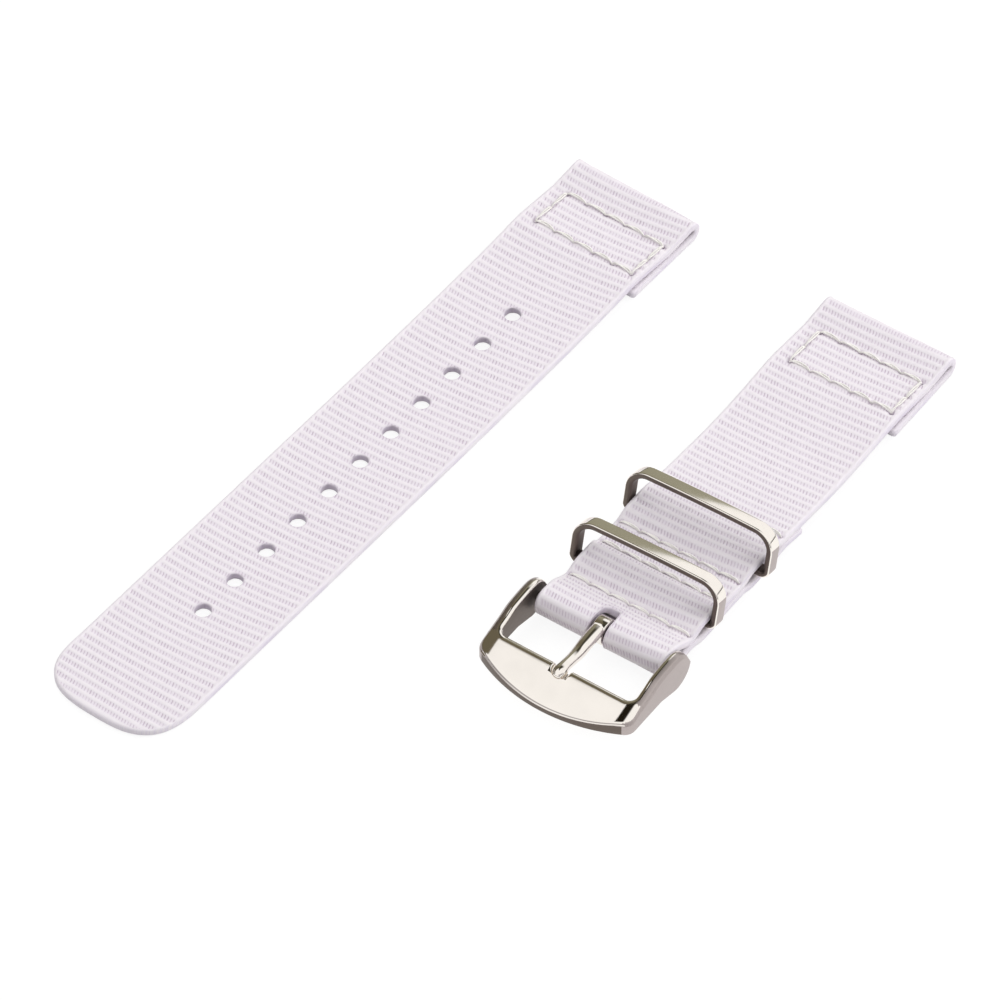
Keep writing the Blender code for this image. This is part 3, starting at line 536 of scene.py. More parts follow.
def build_face(builder, columns, rows, outer, openings, seams, slant, level, tip_start):
    """One woven face of the webbing. Returns its rim chain and the rim chain of each opening."""
    needles, grooves = seams
    flat_u, flat_s = grid_places(columns, rows, tip_start)
    edge_room = columns[-1] - np.abs(flat_u)
    straight = 1.0
    if tip_start:
        end_room = np.where(flat_s > tip_start, rows[-1] - flat_s, 1)
        edge_room = np.minimum(edge_room, end_room)
        straight = np.where(flat_s > tip_start, 0.0, 1.0)
    inside = smoothstep(0, EDGE_SMOOTH, edge_room)
    shifted = flat_u + zigzag(flat_s, slant) * inside * straight
    bowed = flat_s - rib_bow(flat_u, flat_s, rows[-1], level)
    place_u = shifted.copy()
    place_s = bowed.copy()
    near = np.full(flat_u.shape, 9.0)
    nearest = np.full(flat_u.shape, -1)
    for k, opening in enumerate(openings):
        size = opening.measure(shifted, bowed)
        close = size < OPENING_REACH
        warped_u, warped_s = opening.warp(shifted[close], bowed[close])
        place_u[close] = warped_u
        place_s[close] = warped_s
        nearest = np.where(size < near, k, nearest)
        near = np.minimum(near, size)
    relief = weave_relief(shifted, flat_s, slant) * inside * smoothstep(0.95, 1.15, near)
    relief = relief - groove_depth(place_u, place_s, grooves)
    shade = 0.22 * (1 - smoothstep(0.95, 1.25, near))
    for u, s in needles:
        away = (place_u - u) ** 2 + (place_s - s) ** 2
        relief = relief - NEEDLE_DEPTH * np.exp(-away / (2 * NEEDLE_RADIUS ** 2))
        shade = np.maximum(shade, np.exp(-away / (2 * (0.9 * NEEDLE_RADIUS) ** 2)))
    edge = 0.5 * (1 - smoothstep(0.0, EDGE_PLAIN, edge_room))
    sign = 1 if outer else -1
    numbers = np.full(flat_u.shape, -1)
    height = sign * (HALF_THICK + relief)
    last_row = len(rows) - 1
    last_column = len(columns) - 1
    cell = (near[:-1, :-1] + near[1:, :-1] + near[:-1, 1:] + near[1:, 1:]) / 4
    kept = cell > CELL_KEPT
    used = np.zeros(flat_u.shape, bool)
    used[:-1, :-1] |= kept
    used[1:, :-1] |= kept
    used[:-1, 1:] |= kept
    used[1:, 1:] |= kept
    for j, i in zip(*np.nonzero(used)):
        numbers[j, i] = builder.add(place_u[j, i], place_s[j, i], height[j, i], shifted[j, i], flat_s[j, i],
                                    edge[j, i], shade[j, i])
    edges = {}
    for j, i in zip(*np.nonzero(kept)):
        face = (numbers[j, i], numbers[j, i + 1], numbers[j + 1, i + 1], numbers[j + 1, i])
        builder.faces.append(tuple(int(n) for n in (face if not outer else face[::-1])))
    holes = []
    for k, opening in enumerate(openings):
        gone = ~kept & (nearest[:-1, :-1] == k)
        for j, i in zip(*np.nonzero(gone)):
            around = ((j, i), (j, i + 1), (j + 1, i + 1), (j + 1, i))
            beside = ((j - 1, i), (j, i + 1), (j + 1, i), (j, i - 1))
            for side in range(4):
                a = around[side]
                b = around[(side + 1) % 4]
                if kept[beside[side]]:
                    edges[int(numbers[a])] = int(numbers[b])
        start = max(edges, key=lambda n: builder.points[n][1] - abs(builder.points[n][0] - opening.u))
        loop = [start]
        while edges[loop[-1]] != start:
            loop.append(edges[loop[-1]])
        edges.clear()
        turned = [math.atan2((u - opening.u) / opening.half_width, (s - opening.s) / opening.half_length)
                  % math.tau for u, s, _ in (builder.points[n] for n in loop)]
        if turned[len(turned) // 4] > math.pi:
            loop = [loop[0]] + loop[:0:-1]
            turned = [turned[0]] + turned[:0:-1]
        if turned[0] > math.pi:
            turned[0] -= math.tau
        ordered = sorted(turned)
        holes.append([])
        for n, a in zip(loop, ordered):
            direction = (math.sin(a) * opening.half_width, math.cos(a) * opening.half_length)
            size = opening.measure(opening.u + direction[0], opening.s + direction[1])
            builder.points[n] = (opening.u + direction[0] / size, opening.s + direction[1] / size,
                                 sign * (HALF_THICK - OPENING_EASE))
            holes[-1].append((max(a, 0) / math.tau, n))
    bottom = [(i / last_column, (0, i)) for i in range(last_column)]
    right = [(1 + rows[j] / rows[-1], (j, last_column)) for j in range(last_row)]
    top = [(2 + i / last_column, (last_row, last_column - i)) for i in range(last_column)]
    left = [(4 - rows[j] / rows[-1], (j, 0)) for j in range(last_row, 0, -1)]
    rim = [(share / 4, int(numbers[place])) for share, place in bottom + right + top + left]
    return rim, holes


def rim_ring(builder, rim, out, w, edge):
    """A copy of the rim chain, moved out from it and to height w."""
    flat = np.array([builder.points[n][:2] for _, n in rim])
    along = np.roll(flat, -1, axis=0) - np.roll(flat, 1, axis=0)
    away = np.stack((along[:, 1], -along[:, 0]), axis=1)
    away /= np.linalg.norm(away, axis=1, keepdims=True)
    ring = []
    for (share, n), (du, ds) in zip(rim, away):
        u, s, _ = builder.points[n]
        pattern = builder.flat[n]
        ring.append((share, builder.add(u + du * out, s + ds * out, w, pattern[0] + du * out,
                                        pattern[1] + ds * out, edge)))
    return ring


def build_webbing(name, path, openings, seams, fine_to, level, tip_start=None):
    """The whole webbing: a fine outer face, a coarser inner one, rounded selvedges and opening walls."""
    builder = Builder(path)
    side = HALF_WIDTH - EDGE_INSET

    def columns(step):
        count = int(side / step)
        return np.concatenate(([-side], np.arange(-count, count + 1) * step, [side]))

    def rows(step, finest):
        middle = [k * step for k in range(1, int(path.length / step)) if k % 2 == 0 or k * step < finest]
        return np.array([0] + middle + [path.length])

    outer_rim, outer_holes = build_face(builder, columns(YARN / 4), rows(RIB / 4, fine_to), True, openings,
                                        seams, -SLANT, level, tip_start)
    inner_rim, inner_holes = build_face(builder, columns(YARN / 2), rows(RIB / 2, path.length), False,
                                        openings, ([], []), SLANT, level, tip_start)
    rings = [outer_rim]
    for rim, out, w, edge in ((outer_rim, 0.7, 0.88, 0.8), (outer_rim, 1, 0.5, 1),
                              (inner_rim, 1, -0.5, 1), (inner_rim, 0.7, -0.88, 0.8)):
        rings.append(rim_ring(builder, rim, out * EDGE_INSET, w * HALF_THICK, edge))
    builder.zip_all(rings + [inner_rim], True)
    for k, opening in enumerate(openings):
        chains = [outer_holes[k]]
        points = 28 if opening.power == 2 else 72
        for inset, w, shade in ((0.00003, 0.6 * HALF_THICK, 0.40), (0.00005, 0, 0.60),
                                (0.00003, -0.6 * HALF_THICK, 0.50)):
            chains.append([(i / points, builder.add(u, s, w, edge=1.0, shade=shade))
                           for i, (u, s) in enumerate(opening.rim(points, inset, 0.00004))])
        builder.zip_all(chains + [inner_holes[k]], False)
    mesh = builder.mesh(name)
    bm = bmesh.new()
    bm.from_mesh(mesh)
    bmesh.ops.recalc_face_normals(bm, faces=bm.faces)
    bm.to_mesh(mesh)
    bm.free()
    mesh.shade_smooth()
    return put_in_scene(name, mesh)


# Meshes

def put_in_scene(name, data):
    piece = bpy.data.objects.new(name, data)
    bpy.context.scene.collection.objects.link(piece)
    return piece


def skin(bm, rings, closed=False):
    """Faces over rings of points, and a cap at either end unless the last ring joins the first."""
    loops = [[bm.verts.new(point) for point in ring] for ring in rings]
    pairs = list(zip(loops, loops[1:]))
    if closed:
        pairs.append((loops[-1], loops[0]))
    else:
        bm.faces.new(loops[0][::-1])
        bm.faces.new(loops[-1])
    for near, far in pairs:
        for i, corner in enumerate(near):
            j = (i + 1) % len(near)
            bm.faces.new((corner, near[j], far[j], far[i]))


def smooth_mesh(bm, name, materials=()):
    """The finished mesh of bm, facing outwards, with its materials."""
    bmesh.ops.recalc_face_normals(bm, faces=bm.faces)
    mesh = bpy.data.meshes.new(name)
    bm.to_mesh(mesh)
    bm.free()
    mesh.shade_smooth()
    for material in materials:
        mesh.materials.append(material)
    return mesh


def loft_mesh(name, rings, closed=False):
    bm = bmesh.new()
    skin(bm, rings, closed)
    return smooth_mesh(bm, name)


def circle(count):
    """Cosine and sine of even steps round a circle."""
    return [(math.cos(math.tau * k / count), math.sin(math.tau * k / count)) for k in range(count)]


# Stitches

def add_ply(bm, centre):
    """A closed tube of thread along centre points."""
    rings = []
    for k, point in enumerate(centre):
        along = (centre[min(k + 1, len(centre) - 1)] - centre[max(k - 1, 0)]).normalized()
        across = along.cross(Vector((0, 0, 1)))
        if across.length < 0.1:
            across = along.cross(Vector((1, 0, 0)))
        across.normalize()
        over = across.cross(along)
        rings.append([point + THREAD_PLY * (c * across + s * over) for c, s in circle(8)])
    skin(bm, rings)


def add_stitch(bm, path, start, end, bow, seed, lift):
    """One stitch of two-ply thread from needle hole to needle hole, on the outer face of the webbing."""
    steps = 14
    length = math.hypot(end[0] - start[0], end[1] - start[1])
    across = ((end[1] - start[1]) / length, (start[0] - end[0]) / length)
    drift = 0.5 * math.sin(seed * 2.3)
    plies = ([], [])
    for k in range(steps + 1):
        t = k / steps
        ends = min(t, 1 - t)
        rise = HALF_THICK - STITCH_SINK + (STITCH_RISE + lift) * min(1, ends / 0.15) ** 0.6
        u, s = between(start, end, t)
        s += bow * math.sin(math.pi * t)
        turn = math.pi * (t - 0.5) * (0.9 + 0.2 * math.sin(seed * 5.1)) * length / PLY_TWIST + drift
        spread = 1.25 * THREAD_PLY * min(1, 0.35 + ends / 0.2)
        for ply, side in enumerate((1, -1)):
            aside = side * spread * math.cos(turn)
            up = side * spread * 0.8 * math.sin(turn)
            point = path.lift(u + across[0] * aside, s + across[1] * aside, rise + up)
            plies[ply].append(Vector(point))
    for ply in plies:
        add_ply(bm, ply)


def needle_points(start, end):
    """Needle holes of a run of stitches, ends included."""
    length = math.hypot(end[0] - start[0], end[1] - start[1])
    count = max(round(length / STITCH_LENGTH), 1)
    return [between(start, end, k / count) for k in range(count + 1)]


def stitch_piece(label, path, runs, material, body, lift):
    """All the stitches of one thread on one face."""
    name = f"{label}_stitches"
    bm = bmesh.new()
    seed = 0
    for points, bow in runs:
        for start, end in zip(points, points[1:]):
            seed += 1
            add_stitch(bm, path, start, end, bow, seed, lift)
    dress(put_in_scene(name, smooth_mesh(bm, name, [material])), "ivory_thread", body, f"{label}_thread")


def box_runs(path, lug_reach, upper):
    """Needle runs of the stitched box on the upper layer or on the flap below."""
    row_near = lug_reach - LUG_LOOP_DEPTH
    near = path.find(row_near, upper)
    far = path.find(row_near - BOX_LENGTH, upper)
    shift = FLAP_SKEW / 2 + STITCH_SHIFT if upper else 0
    left = shift - BOX_HALF_WIDTH
    right = shift + BOX_HALF_WIDTH
    bow = BOX_BOW if upper else BOBBIN_BOW
    return [(needle_points((left, near), (right, near)), bow),
            (needle_points((left, far), (right, far)), bow),
            (needle_points((left, near), (left, far)), 0),
            (needle_points((right, near), (right, far)), 0)]


def row_runs(path, y, upper):
    at = path.find(y, upper)
    return [(needle_points((-ROW_HALF_WIDTH, at), (ROW_HALF_WIDTH, at)), ROW_BOW if upper else BOBBIN_BOW)]


def seam_marks(threads, half):
    """Needle holes and pressed lines that the stitches of one half leave in its webbing."""
    needles = []
    grooves = []
    for owner, _, runs, depth, _ in threads.values():
        for points, _ in runs if owner == half else ():
            needles += points
            grooves.append((*points[0], *points[-1], depth))
    return needles, grooves


# Materials

class Nodes:
    """Small helper for building the node tree of a material or of the world."""

    def __init__(self, owner):
        owner.use_nodes = True
        self.owner = owner
        self.tree = owner.node_tree
        self.shader = self.tree.nodes.get("Principled BSDF")

    def add(self, kind, inputs=None, **settings):
        """A node with its settings, and a value or a link for each input that is given."""
        node = self.tree.nodes.new("ShaderNode" + kind)
        for key, value in settings.items():
            setattr(node, key, value)
        self.feed(node, inputs or {})
        return node

    def feed(self, node, inputs):
        for key, value in inputs.items():
            if isinstance(value, bpy.types.NodeSocket):
                self.tree.links.new(value, node.inputs[key])
            else:
                node.inputs[key].default_value = value

    def math(self, operation, a, b=0.0):
        return self.add("Math", {0: a, 1: b}, operation=operation).outputs[0]

    def times(self, a, b):
        return self.math("MULTIPLY", a, b)

    def plus(self, a, b):
        return self.math("ADD", a, b)

    def minus(self, a, b):
        return self.math("SUBTRACT", a, b)

    def remap(self, value, low, high, out_low=0.0, out_high=1.0):
        inputs = {"Value": value, "From Min": low, "From Max": high, "To Min": out_low, "To Max": out_high}
        return self.add("MapRange", inputs, interpolation_type="SMOOTHSTEP").outputs["Result"]

    def mix(self, share, one, other):
        return self.add("Mix", {"Factor": share, 6: one, 7: other}, data_type="RGBA").outputs[2]

    def noise(self, vector, scale, detail=2.0, roughness=0.5):
        inputs = {"Vector": vector, "Scale": scale, "Detail": detail, "Roughness": roughness}
        return self.add("TexNoise", inputs).outputs[0]

    def vector(self, x, y):
        return self.add("CombineXYZ", {0: x, 1: y}).outputs[0]

    def bump(self, height, distance, strength):
        return self.add("Bump", {"Height": height, "Distance": distance, "Strength": strength}).outputs[0]


def colour(red, green, blue):
    return (red, green, blue, 1)


def nylon_material():
    """White nylon webbing: slanted gaps between yarns and grooves between ribs, both with painted shade,
    painted shade at holes, filaments, plain selvedge.
    """
    n = Nodes(bpy.data.materials.new("woven_white_nylon"))
    place = n.add("UVMap", uv_map="weave").outputs[0]
    across, along, _ = n.add("SeparateXYZ", {0: place}).outputs
    edge = n.add("Attribute", attribute_name="edge").outputs["Fac"]
    shade = n.add("Attribute", attribute_name="shade").outputs["Fac"]
    row = n.math("FLOOR", along)
    phase = n.minus(along, row)
    odd = n.math("FLOORED_MODULO", row, 2)
    lean = n.times(n.minus(phase, 0.5), -SLANT * RIB / YARN)
    x = n.plus(n.plus(across, n.times(odd, 0.5)), lean)
    tick_number = n.math("FLOOR", n.plus(x, 0.5))
    offset = n.math("ABSOLUTE", n.minus(x, tick_number))
    chance = n.add("TexWhiteNoise", {"Vector": n.vector(tick_number, row)}, noise_dimensions="2D")
    strength = n.remap(chance.outputs["Value"], 0, 1, 0.55, 1.0)
    strength = n.times(strength, n.minus(1.0, n.times(odd, 0.2)))
    gap = n.remap(offset, 0.07, 0.28, 1, 0)
    middle = n.math("ABSOLUTE", n.minus(phase, 0.5))
    half_tick = n.minus(0.31, n.times(odd, 0.05))
    window = n.remap(n.minus(middle, half_tick), -0.14, 0.05, 1, 0)
    plain = n.remap(edge, 0.0, 0.45, 1, 0)
    tick = n.times(n.times(gap, window), n.times(strength, plain))
    hollow = n.times(n.remap(middle, 0.45, 0.1), plain)
    fibre = n.noise(n.vector(n.times(x, 9.0), n.times(along, 1.6)), 1.0, 3.0, 0.6)
    blotch = n.noise(n.vector(n.times(across, 0.2), n.times(along, 0.5)), 1.0)
    pale = n.mix(blotch, colour(0.895, 0.845, 0.895), colour(0.925, 0.885, 0.92))
    yarns = n.mix(n.times(fibre, 0.20), pale, colour(0.80, 0.75, 0.82))
    # Painted shade: the hollow between one rib and the next is darker in colour
    groove_shaded = n.mix(n.times(hollow, 0.40), yarns, colour(0.76, 0.69, 0.79))
    # Painted shade: the slanted gaps between the yarns are darker in colour
    yarn_gap_shaded = n.mix(n.times(tick, 0.60), groove_shaded, colour(0.46, 0.34, 0.46))
    selvedge = n.noise(n.vector(n.times(across, 7.0), n.times(along, 0.25)), 1.0)
    # The selvedge turns greyer lavender in faint lengthwise streaks
    selvedge_streaks = n.times(n.remap(edge, 0.4, 1.0), n.remap(selvedge, 0.35, 0.7))
    ends = n.mix(selvedge_streaks, yarn_gap_shaded, colour(0.80, 0.74, 0.85))
    dark = n.mix(n.times(shade, 0.75), ends, colour(0.34, 0.26, 0.38))
    relief = n.minus(n.times(fibre, 0.35), tick)
    n.feed(n.shader, {"Base Color": dark, "Roughness": n.remap(fibre, 0, 1, 0.55, 0.75),
                      "Sheen Weight": 0.15, "Sheen Roughness": 0.4, "Specular IOR Level": 0.35,
                      "Normal": n.bump(relief, 0.00005, 0.7)})
    return n.owner


def thread_material():
    """Ivory polyester thread with fine fibres along it."""
    n = Nodes(bpy.data.materials.new("ivory_sewing_thread"))
    place = n.add("TexCoord").outputs["Object"]
    fibre = n.noise(place, 9000)
    patch = n.noise(place, 500, 1.0)
    tone = n.mix(fibre, colour(0.925, 0.90, 0.86), colour(0.97, 0.955, 0.925))
    tone = n.mix(n.times(patch, 0.5), tone, colour(0.955, 0.94, 0.91))
    n.feed(n.shader, {"Base Color": tone, "Roughness": n.remap(fibre, 0, 1, 0.45, 0.65), "Sheen Weight": 0.2,
                      "Normal": n.bump(fibre, 0.00002, 0.6)})
    return n.owner


def metal_material(name, base, rough, wear, streak, ripple):
    """Nickel-plated steel: a tint that drifts a little, faint polishing streaks and dulled patches."""
    n = Nodes(bpy.data.materials.new(name))
    place = n.add("TexCoord").outputs["Object"]
    lines = n.noise(n.add("Mapping", {"Vector": place, "Scale": streak}).outputs[0], 1.0, 4.0, 0.6)
    cloud = n.noise(place, 260, 3.0)
    tone = n.mix(n.times(cloud, 0.6), colour(*base), colour(*(part * 0.86 for part in base)))
    dull = n.plus(n.times(lines, wear), n.times(cloud, wear * 0.7))
    height = n.plus(cloud, n.times(lines, 0.15))
    n.feed(n.shader, {"Base Color": tone, "Roughness": n.plus(dull, rough), "Metallic": 1,
                      "Normal": n.bump(height, ripple, 0.5)})
    return n.owner


# Hardware

def rounded_band(width, height, top_corner, foot_corner, cuts):
    """Outline points counter-clockwise from the right, each with its outward direction."""
    points = []
    for sx, sy, start in ((1, 1, 0), (-1, 1, 90), (-1, -1, 180), (1, -1, 270)):
        corner = top_corner if sy > 0 else foot_corner
        centre = (sx * (width / 2 - corner), sy * (height / 2 - corner))
        for k in range(cuts + 1):
            out = heading(start + 90 * k / cuts)
            points.append(((centre[0] + corner * out[0], centre[1] + corner * out[1]), out))
    return points


def densify(points, most):
    """Extra points on long straight stretches of a closed outline of ((x, z), direction)."""
    dense = []
    for (here, way), (there, other) in zip(points, points[1:] + points[:1]):
        gap = math.dist(here, there)
        cuts = max(int(gap / most), 1)
        for k in range(cuts):
            t = k / cuts
            tilt = Vector(way).lerp(Vector(other), t).normalized()
            dense.append((between(here, there, t), tuple(tilt)))
    return dense


def keeper_section(corner):
    """Section of the keeper's band: a crowned outer face, edges of the given radius, a flat inner face."""
    half = KEEPER_THICK / 2
    reach = KEEPER_BAND / 2
    ease = KEEPER_EDGES[1]
    outer = []
    for k in range(13):
        v = (reach - corner) * (1 - 2 * k / 12)
        outer.append((half - KEEPER_CROWN * (v / reach) ** 2, v))
    edge = arc((outer[-1][0] - corner, corner - reach), corner, 0, -90, 5)[1:]
    edge += arc((ease - half, ease - reach), ease, -90, -180, 4)
    return [Vector(point) for point in outer + edge + [(u, -v) for u, v in reversed(edge)]]


def build_keeper(name, place, materials):
    inset = KEEPER_THICK / 2
    spine = densify(rounded_band(KEEPER_WIDTH - KEEPER_THICK, KEEPER_HEIGHT - KEEPER_THICK,
                                 KEEPER_CORNER - inset, KEEPER_FOOT_CORNER - inset, 22), KEEPER_STEP)
    section, foot = (keeper_section(corner) for corner in KEEPER_EDGES)
    lift = (KEEPER_HEIGHT - KEEPER_THICK) / 2
    rings = []
    for (x, z), (out_x, out_z) in spine:
        bow = KEEPER_BOW * max(0, 1 - (x / (KEEPER_WIDTH / 2 - KEEPER_CORNER)) ** 2) - KEEPER_BOW / 2
        centre = Vector((x, 0, z + lift + bow * max(0, out_z)))
        outward = Vector((out_x, 0, out_z))
        lowered = float(smoothstep(0.0, 0.8, -out_z))
        ring = [near.lerp(far, lowered) for near, far in zip(section, foot)]
        rings.append([place @ (centre + outward * u + Vector((0, v, 0))) for u, v in ring])
    bm = bmesh.new()
    skin(bm, rings, True)
    mesh = smooth_mesh(bm, name, materials)
    back = place.inverted().to_3x3()
    first, last = KEEPER_INNER_POINTS
    for polygon in mesh.polygons:
        facing = back @ polygon.normal
        around = sorted(v % len(section) for v in polygon.vertices)
        # Painted shade: the band's inner face and its front faces get the nickel painted dark
        if around[0] >= first and around[-1] <= last or facing.y < -0.93:
            polygon.material_index = PAINTED_SHADE
        elif abs(facing.x) > 0.97:
            polygon.material_index = BRUSHED
    return put_in_scene(name, mesh)


def frame_side_lines():
    upper = arc((-LOBE_OFFSET, 0), LOBE_RADIUS, 10, 90, 36)
    top = [(-FRAME_REACH * along, LOBE_RADIUS * up) for along, up in FRAME_TOP_SHARES]
    upper += smooth_through([upper[-1]] + top, 16)[1:]
    lower = arc((-LOBE_OFFSET, 0), LOBE_RADIUS, -10, -100, 36)
    lower += [(-FRAME_REACH * along, LOBE_RADIUS * up) for along, up in FRAME_BASE_SHARES]
    return upper, lower


def line_height(line, y):
    for (y0, z0), (y1, z1) in zip(line, line[1:]):
        if y1 <= y <= y0:
            return z0 + (z1 - z0) * (y - y0) / (y1 - y0)
    return line[0][1] if y > line[0][0] else line[-1][1]


def frame_front_outline():
    bow_radius = (FRAME_OUTER ** 2 + FRONT_SAG ** 2) / (2 * FRONT_SAG)
    bow_centre = (0, bow_radius - FRAME_REACH)
    corner_x = FRAME_CORNER - FRAME_OUTER
    drop = math.sqrt((bow_radius - FRAME_CORNER) ** 2 - corner_x ** 2)
    corner_centre = (corner_x, bow_centre[1] - drop)
    meets = math.degrees(math.atan2(corner_centre[1] - bow_centre[1], corner_x))
    corner = arc(corner_centre, FRAME_CORNER, 180, meets % 360, 24)
    return [(-FRAME_OUTER, LOBE_RADIUS)] + corner + arc(bow_centre, bow_radius, meets, -90, 40)[1:]


def outline_hit(centre, direction, outline):
    for start, end in zip(outline, outline[1:]):
        ahead = Vector(end) - Vector(start)
        away = Vector(start) - Vector(centre)
        cross = direction[0] * ahead.y - direction[1] * ahead.x
        if cross == 0:
            continue
        reach = (away.x * ahead.y - away.y * ahead.x) / cross
        share = (away.x * direction[1] - away.y * direction[0]) / cross
        if reach > 0 and 0 <= share <= 1:
            return (centre[0] + direction[0] * reach, centre[1] + direction[1] * reach)
    return outline[-1]


def frame_spans():
    outline = frame_front_outline()
    fan_centre = (WINDOW_CORNER - FRAME_INNER, WINDOW_CORNER - PLATE_BACK)
    lobe = [y for y, _ in arc((-LOBE_OFFSET, 0), LOBE_RADIUS, 10, 90, 20)]
    cuts = 26
    rest = [lobe[-1] + (fan_centre[1] - lobe[-1]) * k / cuts for k in range(1, cuts)]
    spans = [((-FRAME_INNER, y), (-FRAME_OUTER, y)) for y in lobe + rest]
    for inner, angle in zip(arc(fan_centre, WINDOW_CORNER, 180, 270, 18), range(180, 271, 5)):
        spans.append((inner, outline_hit(fan_centre, heading(angle), outline)))
    for k in range(1, cuts + 1):
        x = fan_centre[0] * (1 - k / cuts)
        spans.append(((x, -PLATE_BACK), outline_hit((x, -PLATE_BACK), (0, -1), outline)))
    return spans


def frame_section(inner, outer, upper, lower):
    """One section of the frame. Its top rolls off towards the window and, most at the corners, outwards."""
    inner = Vector(inner)
    outer = Vector(outer)
    width = (outer - inner).length
    tallest = min(line_height(upper, at.y) - line_height(lower, at.y) for at in (inner, outer))
    turns = [math.radians(7.5 * k) for k in range(13)]
    far_reach = min(OUTER_ROLL[0], width * 0.42)
    far_drop = min(OUTER_ROLL[1], tallest * 0.36)
    reach = min(INNER_ROLL[0], width * 0.48)
    drop = min(INNER_ROLL[1], tallest * 0.45)
    top = [(reach * (1 - math.cos(a)), drop * (1 - math.sin(a))) for a in turns]
    top += [(reach + (width - reach - far_reach) * k / 12, 0) for k in range(1, 12)]
    slope = far_reach - EDGE_ROUNDING
    top += [(width - far_reach + slope * k / 14, far_drop * (k / 14) ** 2) for k in range(15)]
    top += [(width - EDGE_ROUNDING * (1 - math.sin(a)), far_drop + EDGE_ROUNDING * (1 - math.cos(a)))
            for a in (0.8, 1.1, 1.35, math.pi / 2)]
    plain = min(FRAME_ROUNDING, tallest * 0.3, width * 0.3)
    base = [(plain * (1 - math.cos(a)), plain * (1 - math.sin(a))) for a in turns[::2]]
    base += [(width - along, down) for along, down in reversed(base)]
    ring = []
    for line, sign, steps in ((upper, -1, top), (lower, 1, base[::-1])):
        for along, down in steps:
            at = inner.lerp(outer, along / width)
            if sign < 0:
                rolled = max(0, (abs(at.x) - FRAME_OUTER) / CORNER_ROLL[0] + 1)
                down += min(CORNER_ROLL[1], tallest * 0.3) * rolled ** 2
            ring.append(Vector((at.x, at.y, line_height(line, at.y) + sign * down)))
    return ring


def cut_away(piece, cutters):
    """Take cutters out of the piece for good, and remove them."""
    for cutter in cutters:
        modifier = piece.modifiers.new(cutter.name, "BOOLEAN")
        modifier.object = cutter
        modifier.solver = "EXACT"
    graph = bpy.context.evaluated_depsgraph_get()
    solid = bpy.data.meshes.new_from_object(piece.evaluated_get(graph))
    piece.modifiers.clear()
    piece.data = solid
    for cutter in cutters:
        bpy.data.objects.remove(cutter)


def tang_line():
    scale = TANG_EYE_DIAMETER / 2
    return [(-TANG_LENGTH * along, scale * up) for along, up in TANG_HEIGHT_SHARES]


def seat_trough(radius, centre_z, surface_z):
    """Half of the seat's section, from its lowest point up: a round bottom that flares into the plate."""
    sink = min(max((centre_z - surface_z + SEAT_FLARE) / radius, 0.0), 0.95)
    turn = math.asin(sink)
    points = arc((0, centre_z), radius, -90, -math.degrees(turn), 20)
    start_x, start_z = points[-1]
    rise = max(surface_z - start_z, 0.0001)
    for k in range(1, 11):
        t = k / 10
        flare = SEAT_FLARE * (1 - math.sqrt(1 - 0.97 * t * t))
        points.append((start_x + rise * t * math.tan(turn) * (1 - 0.5 * t) + flare, start_z + rise * t))
    return points


def tang_seat(place):
    """The half-round seat in the front plate for the tang's tip, open upwards."""
    tip_y = tang_line()[-1][0]
    rest_z = max(z for _, z in tang_line()[-3:])
    radius = TANG_DIAMETER / 2 + TANG_SEAT_GAP
    upper = frame_side_lines()[0]
    stations = arc((tip_y - TANG_SEAT_GAP + radius, 0), radius, 170, 90, 26)
    stations += [(ahead - PLATE_BACK, radius) for ahead in (-0.0004, 0.0, 0.0004, SEAT_OVERSHOOT)]
    top = LOBE_RADIUS + SEAT_OVERSHOOT
    troughs = []
    for y, r in stations:
        rolled = 1 - min(max((-PLATE_BACK - y) / INNER_ROLL[0], 0), 1)
        surface = line_height(upper, y) - INNER_ROLL[1] * (1 - math.sqrt(1 - rolled * rolled))
        half = seat_trough(r, rest_z, surface)
        bottom = [(-x, z) for x, z in reversed(half)] + half[1:]
        trough = [(bottom[0][0], top)] + bottom + [(bottom[-1][0], top)]
        troughs.append([place @ Vector((x - TANG_SHIFT, y, z)) for x, z in trough])
    return put_in_scene("seat", loft_mesh("seat", troughs))


def pin_bores(place):
    reach = FRAME_INNER + PIN_TIP_REACH + 0.0001
    rings = [[place @ Vector((x, PIN_TIP_RADIUS * c, PIN_TIP_RADIUS * s)) for c, s in circle(32)]
             for x in (-reach, reach)]
    return put_in_scene("bores", loft_mesh("bores", rings))


def frame_finish(centre, facing):
    """Finish of a face of the frame, by where it is and where it looks; inner walls and the front rim get
    nickel painted dark as shade.
    """
    inside = abs(centre.x) < FRAME_INNER + FINISH_MARGIN and centre.y > FINISH_MARGIN - PLATE_BACK
    outward = facing.x * math.copysign(1, centre.x)
    upright = abs(facing.z) < 0.5
    # Painted shade: the window's inner walls and the front wall get the nickel painted dark
    if inside and outward < -0.9 or centre.y < -PLATE_BACK and facing.y < -0.88 and upright:
        return PAINTED_SHADE
    if not inside and upright and (facing.x * centre.x > 0.002 or facing.y < -0.3):
        return BRUSHED
    rolled = abs(centre.x) > FRAME_OUTER - CORNER_ROLL[0]
    if rolled and facing.z > 0 and outward > (0.13 if centre.y > -PLATE_BACK else 0.40):
        return BRUSHED
    return POLISHED


def build_frame(place, materials):
    name = "buckle_frame_polished"
    upper, lower = frame_side_lines()
    left = [frame_section(inner, outer, upper, lower) for inner, outer in frame_spans()]
    right = [[Vector((-point.x, point.y, point.z)) for point in ring] for ring in reversed(left[:-1])]
    rings = [[place @ point for point in ring] for ring in left + right]
    piece = put_in_scene(name, loft_mesh(name, rings))
    cut_away(piece, [tang_seat(place), pin_bores(place)])
    mesh = piece.data
    mesh.materials.clear()
    for material in materials:
        mesh.materials.append(material)
    back = place.inverted()
    for polygon in mesh.polygons:
        polygon.material_index = frame_finish(back @ polygon.center, back.to_3x3() @ polygon.normal)
    mesh.shade_smooth()
    mesh.set_sharp_from_angle(angle=math.radians(30))
    return piece


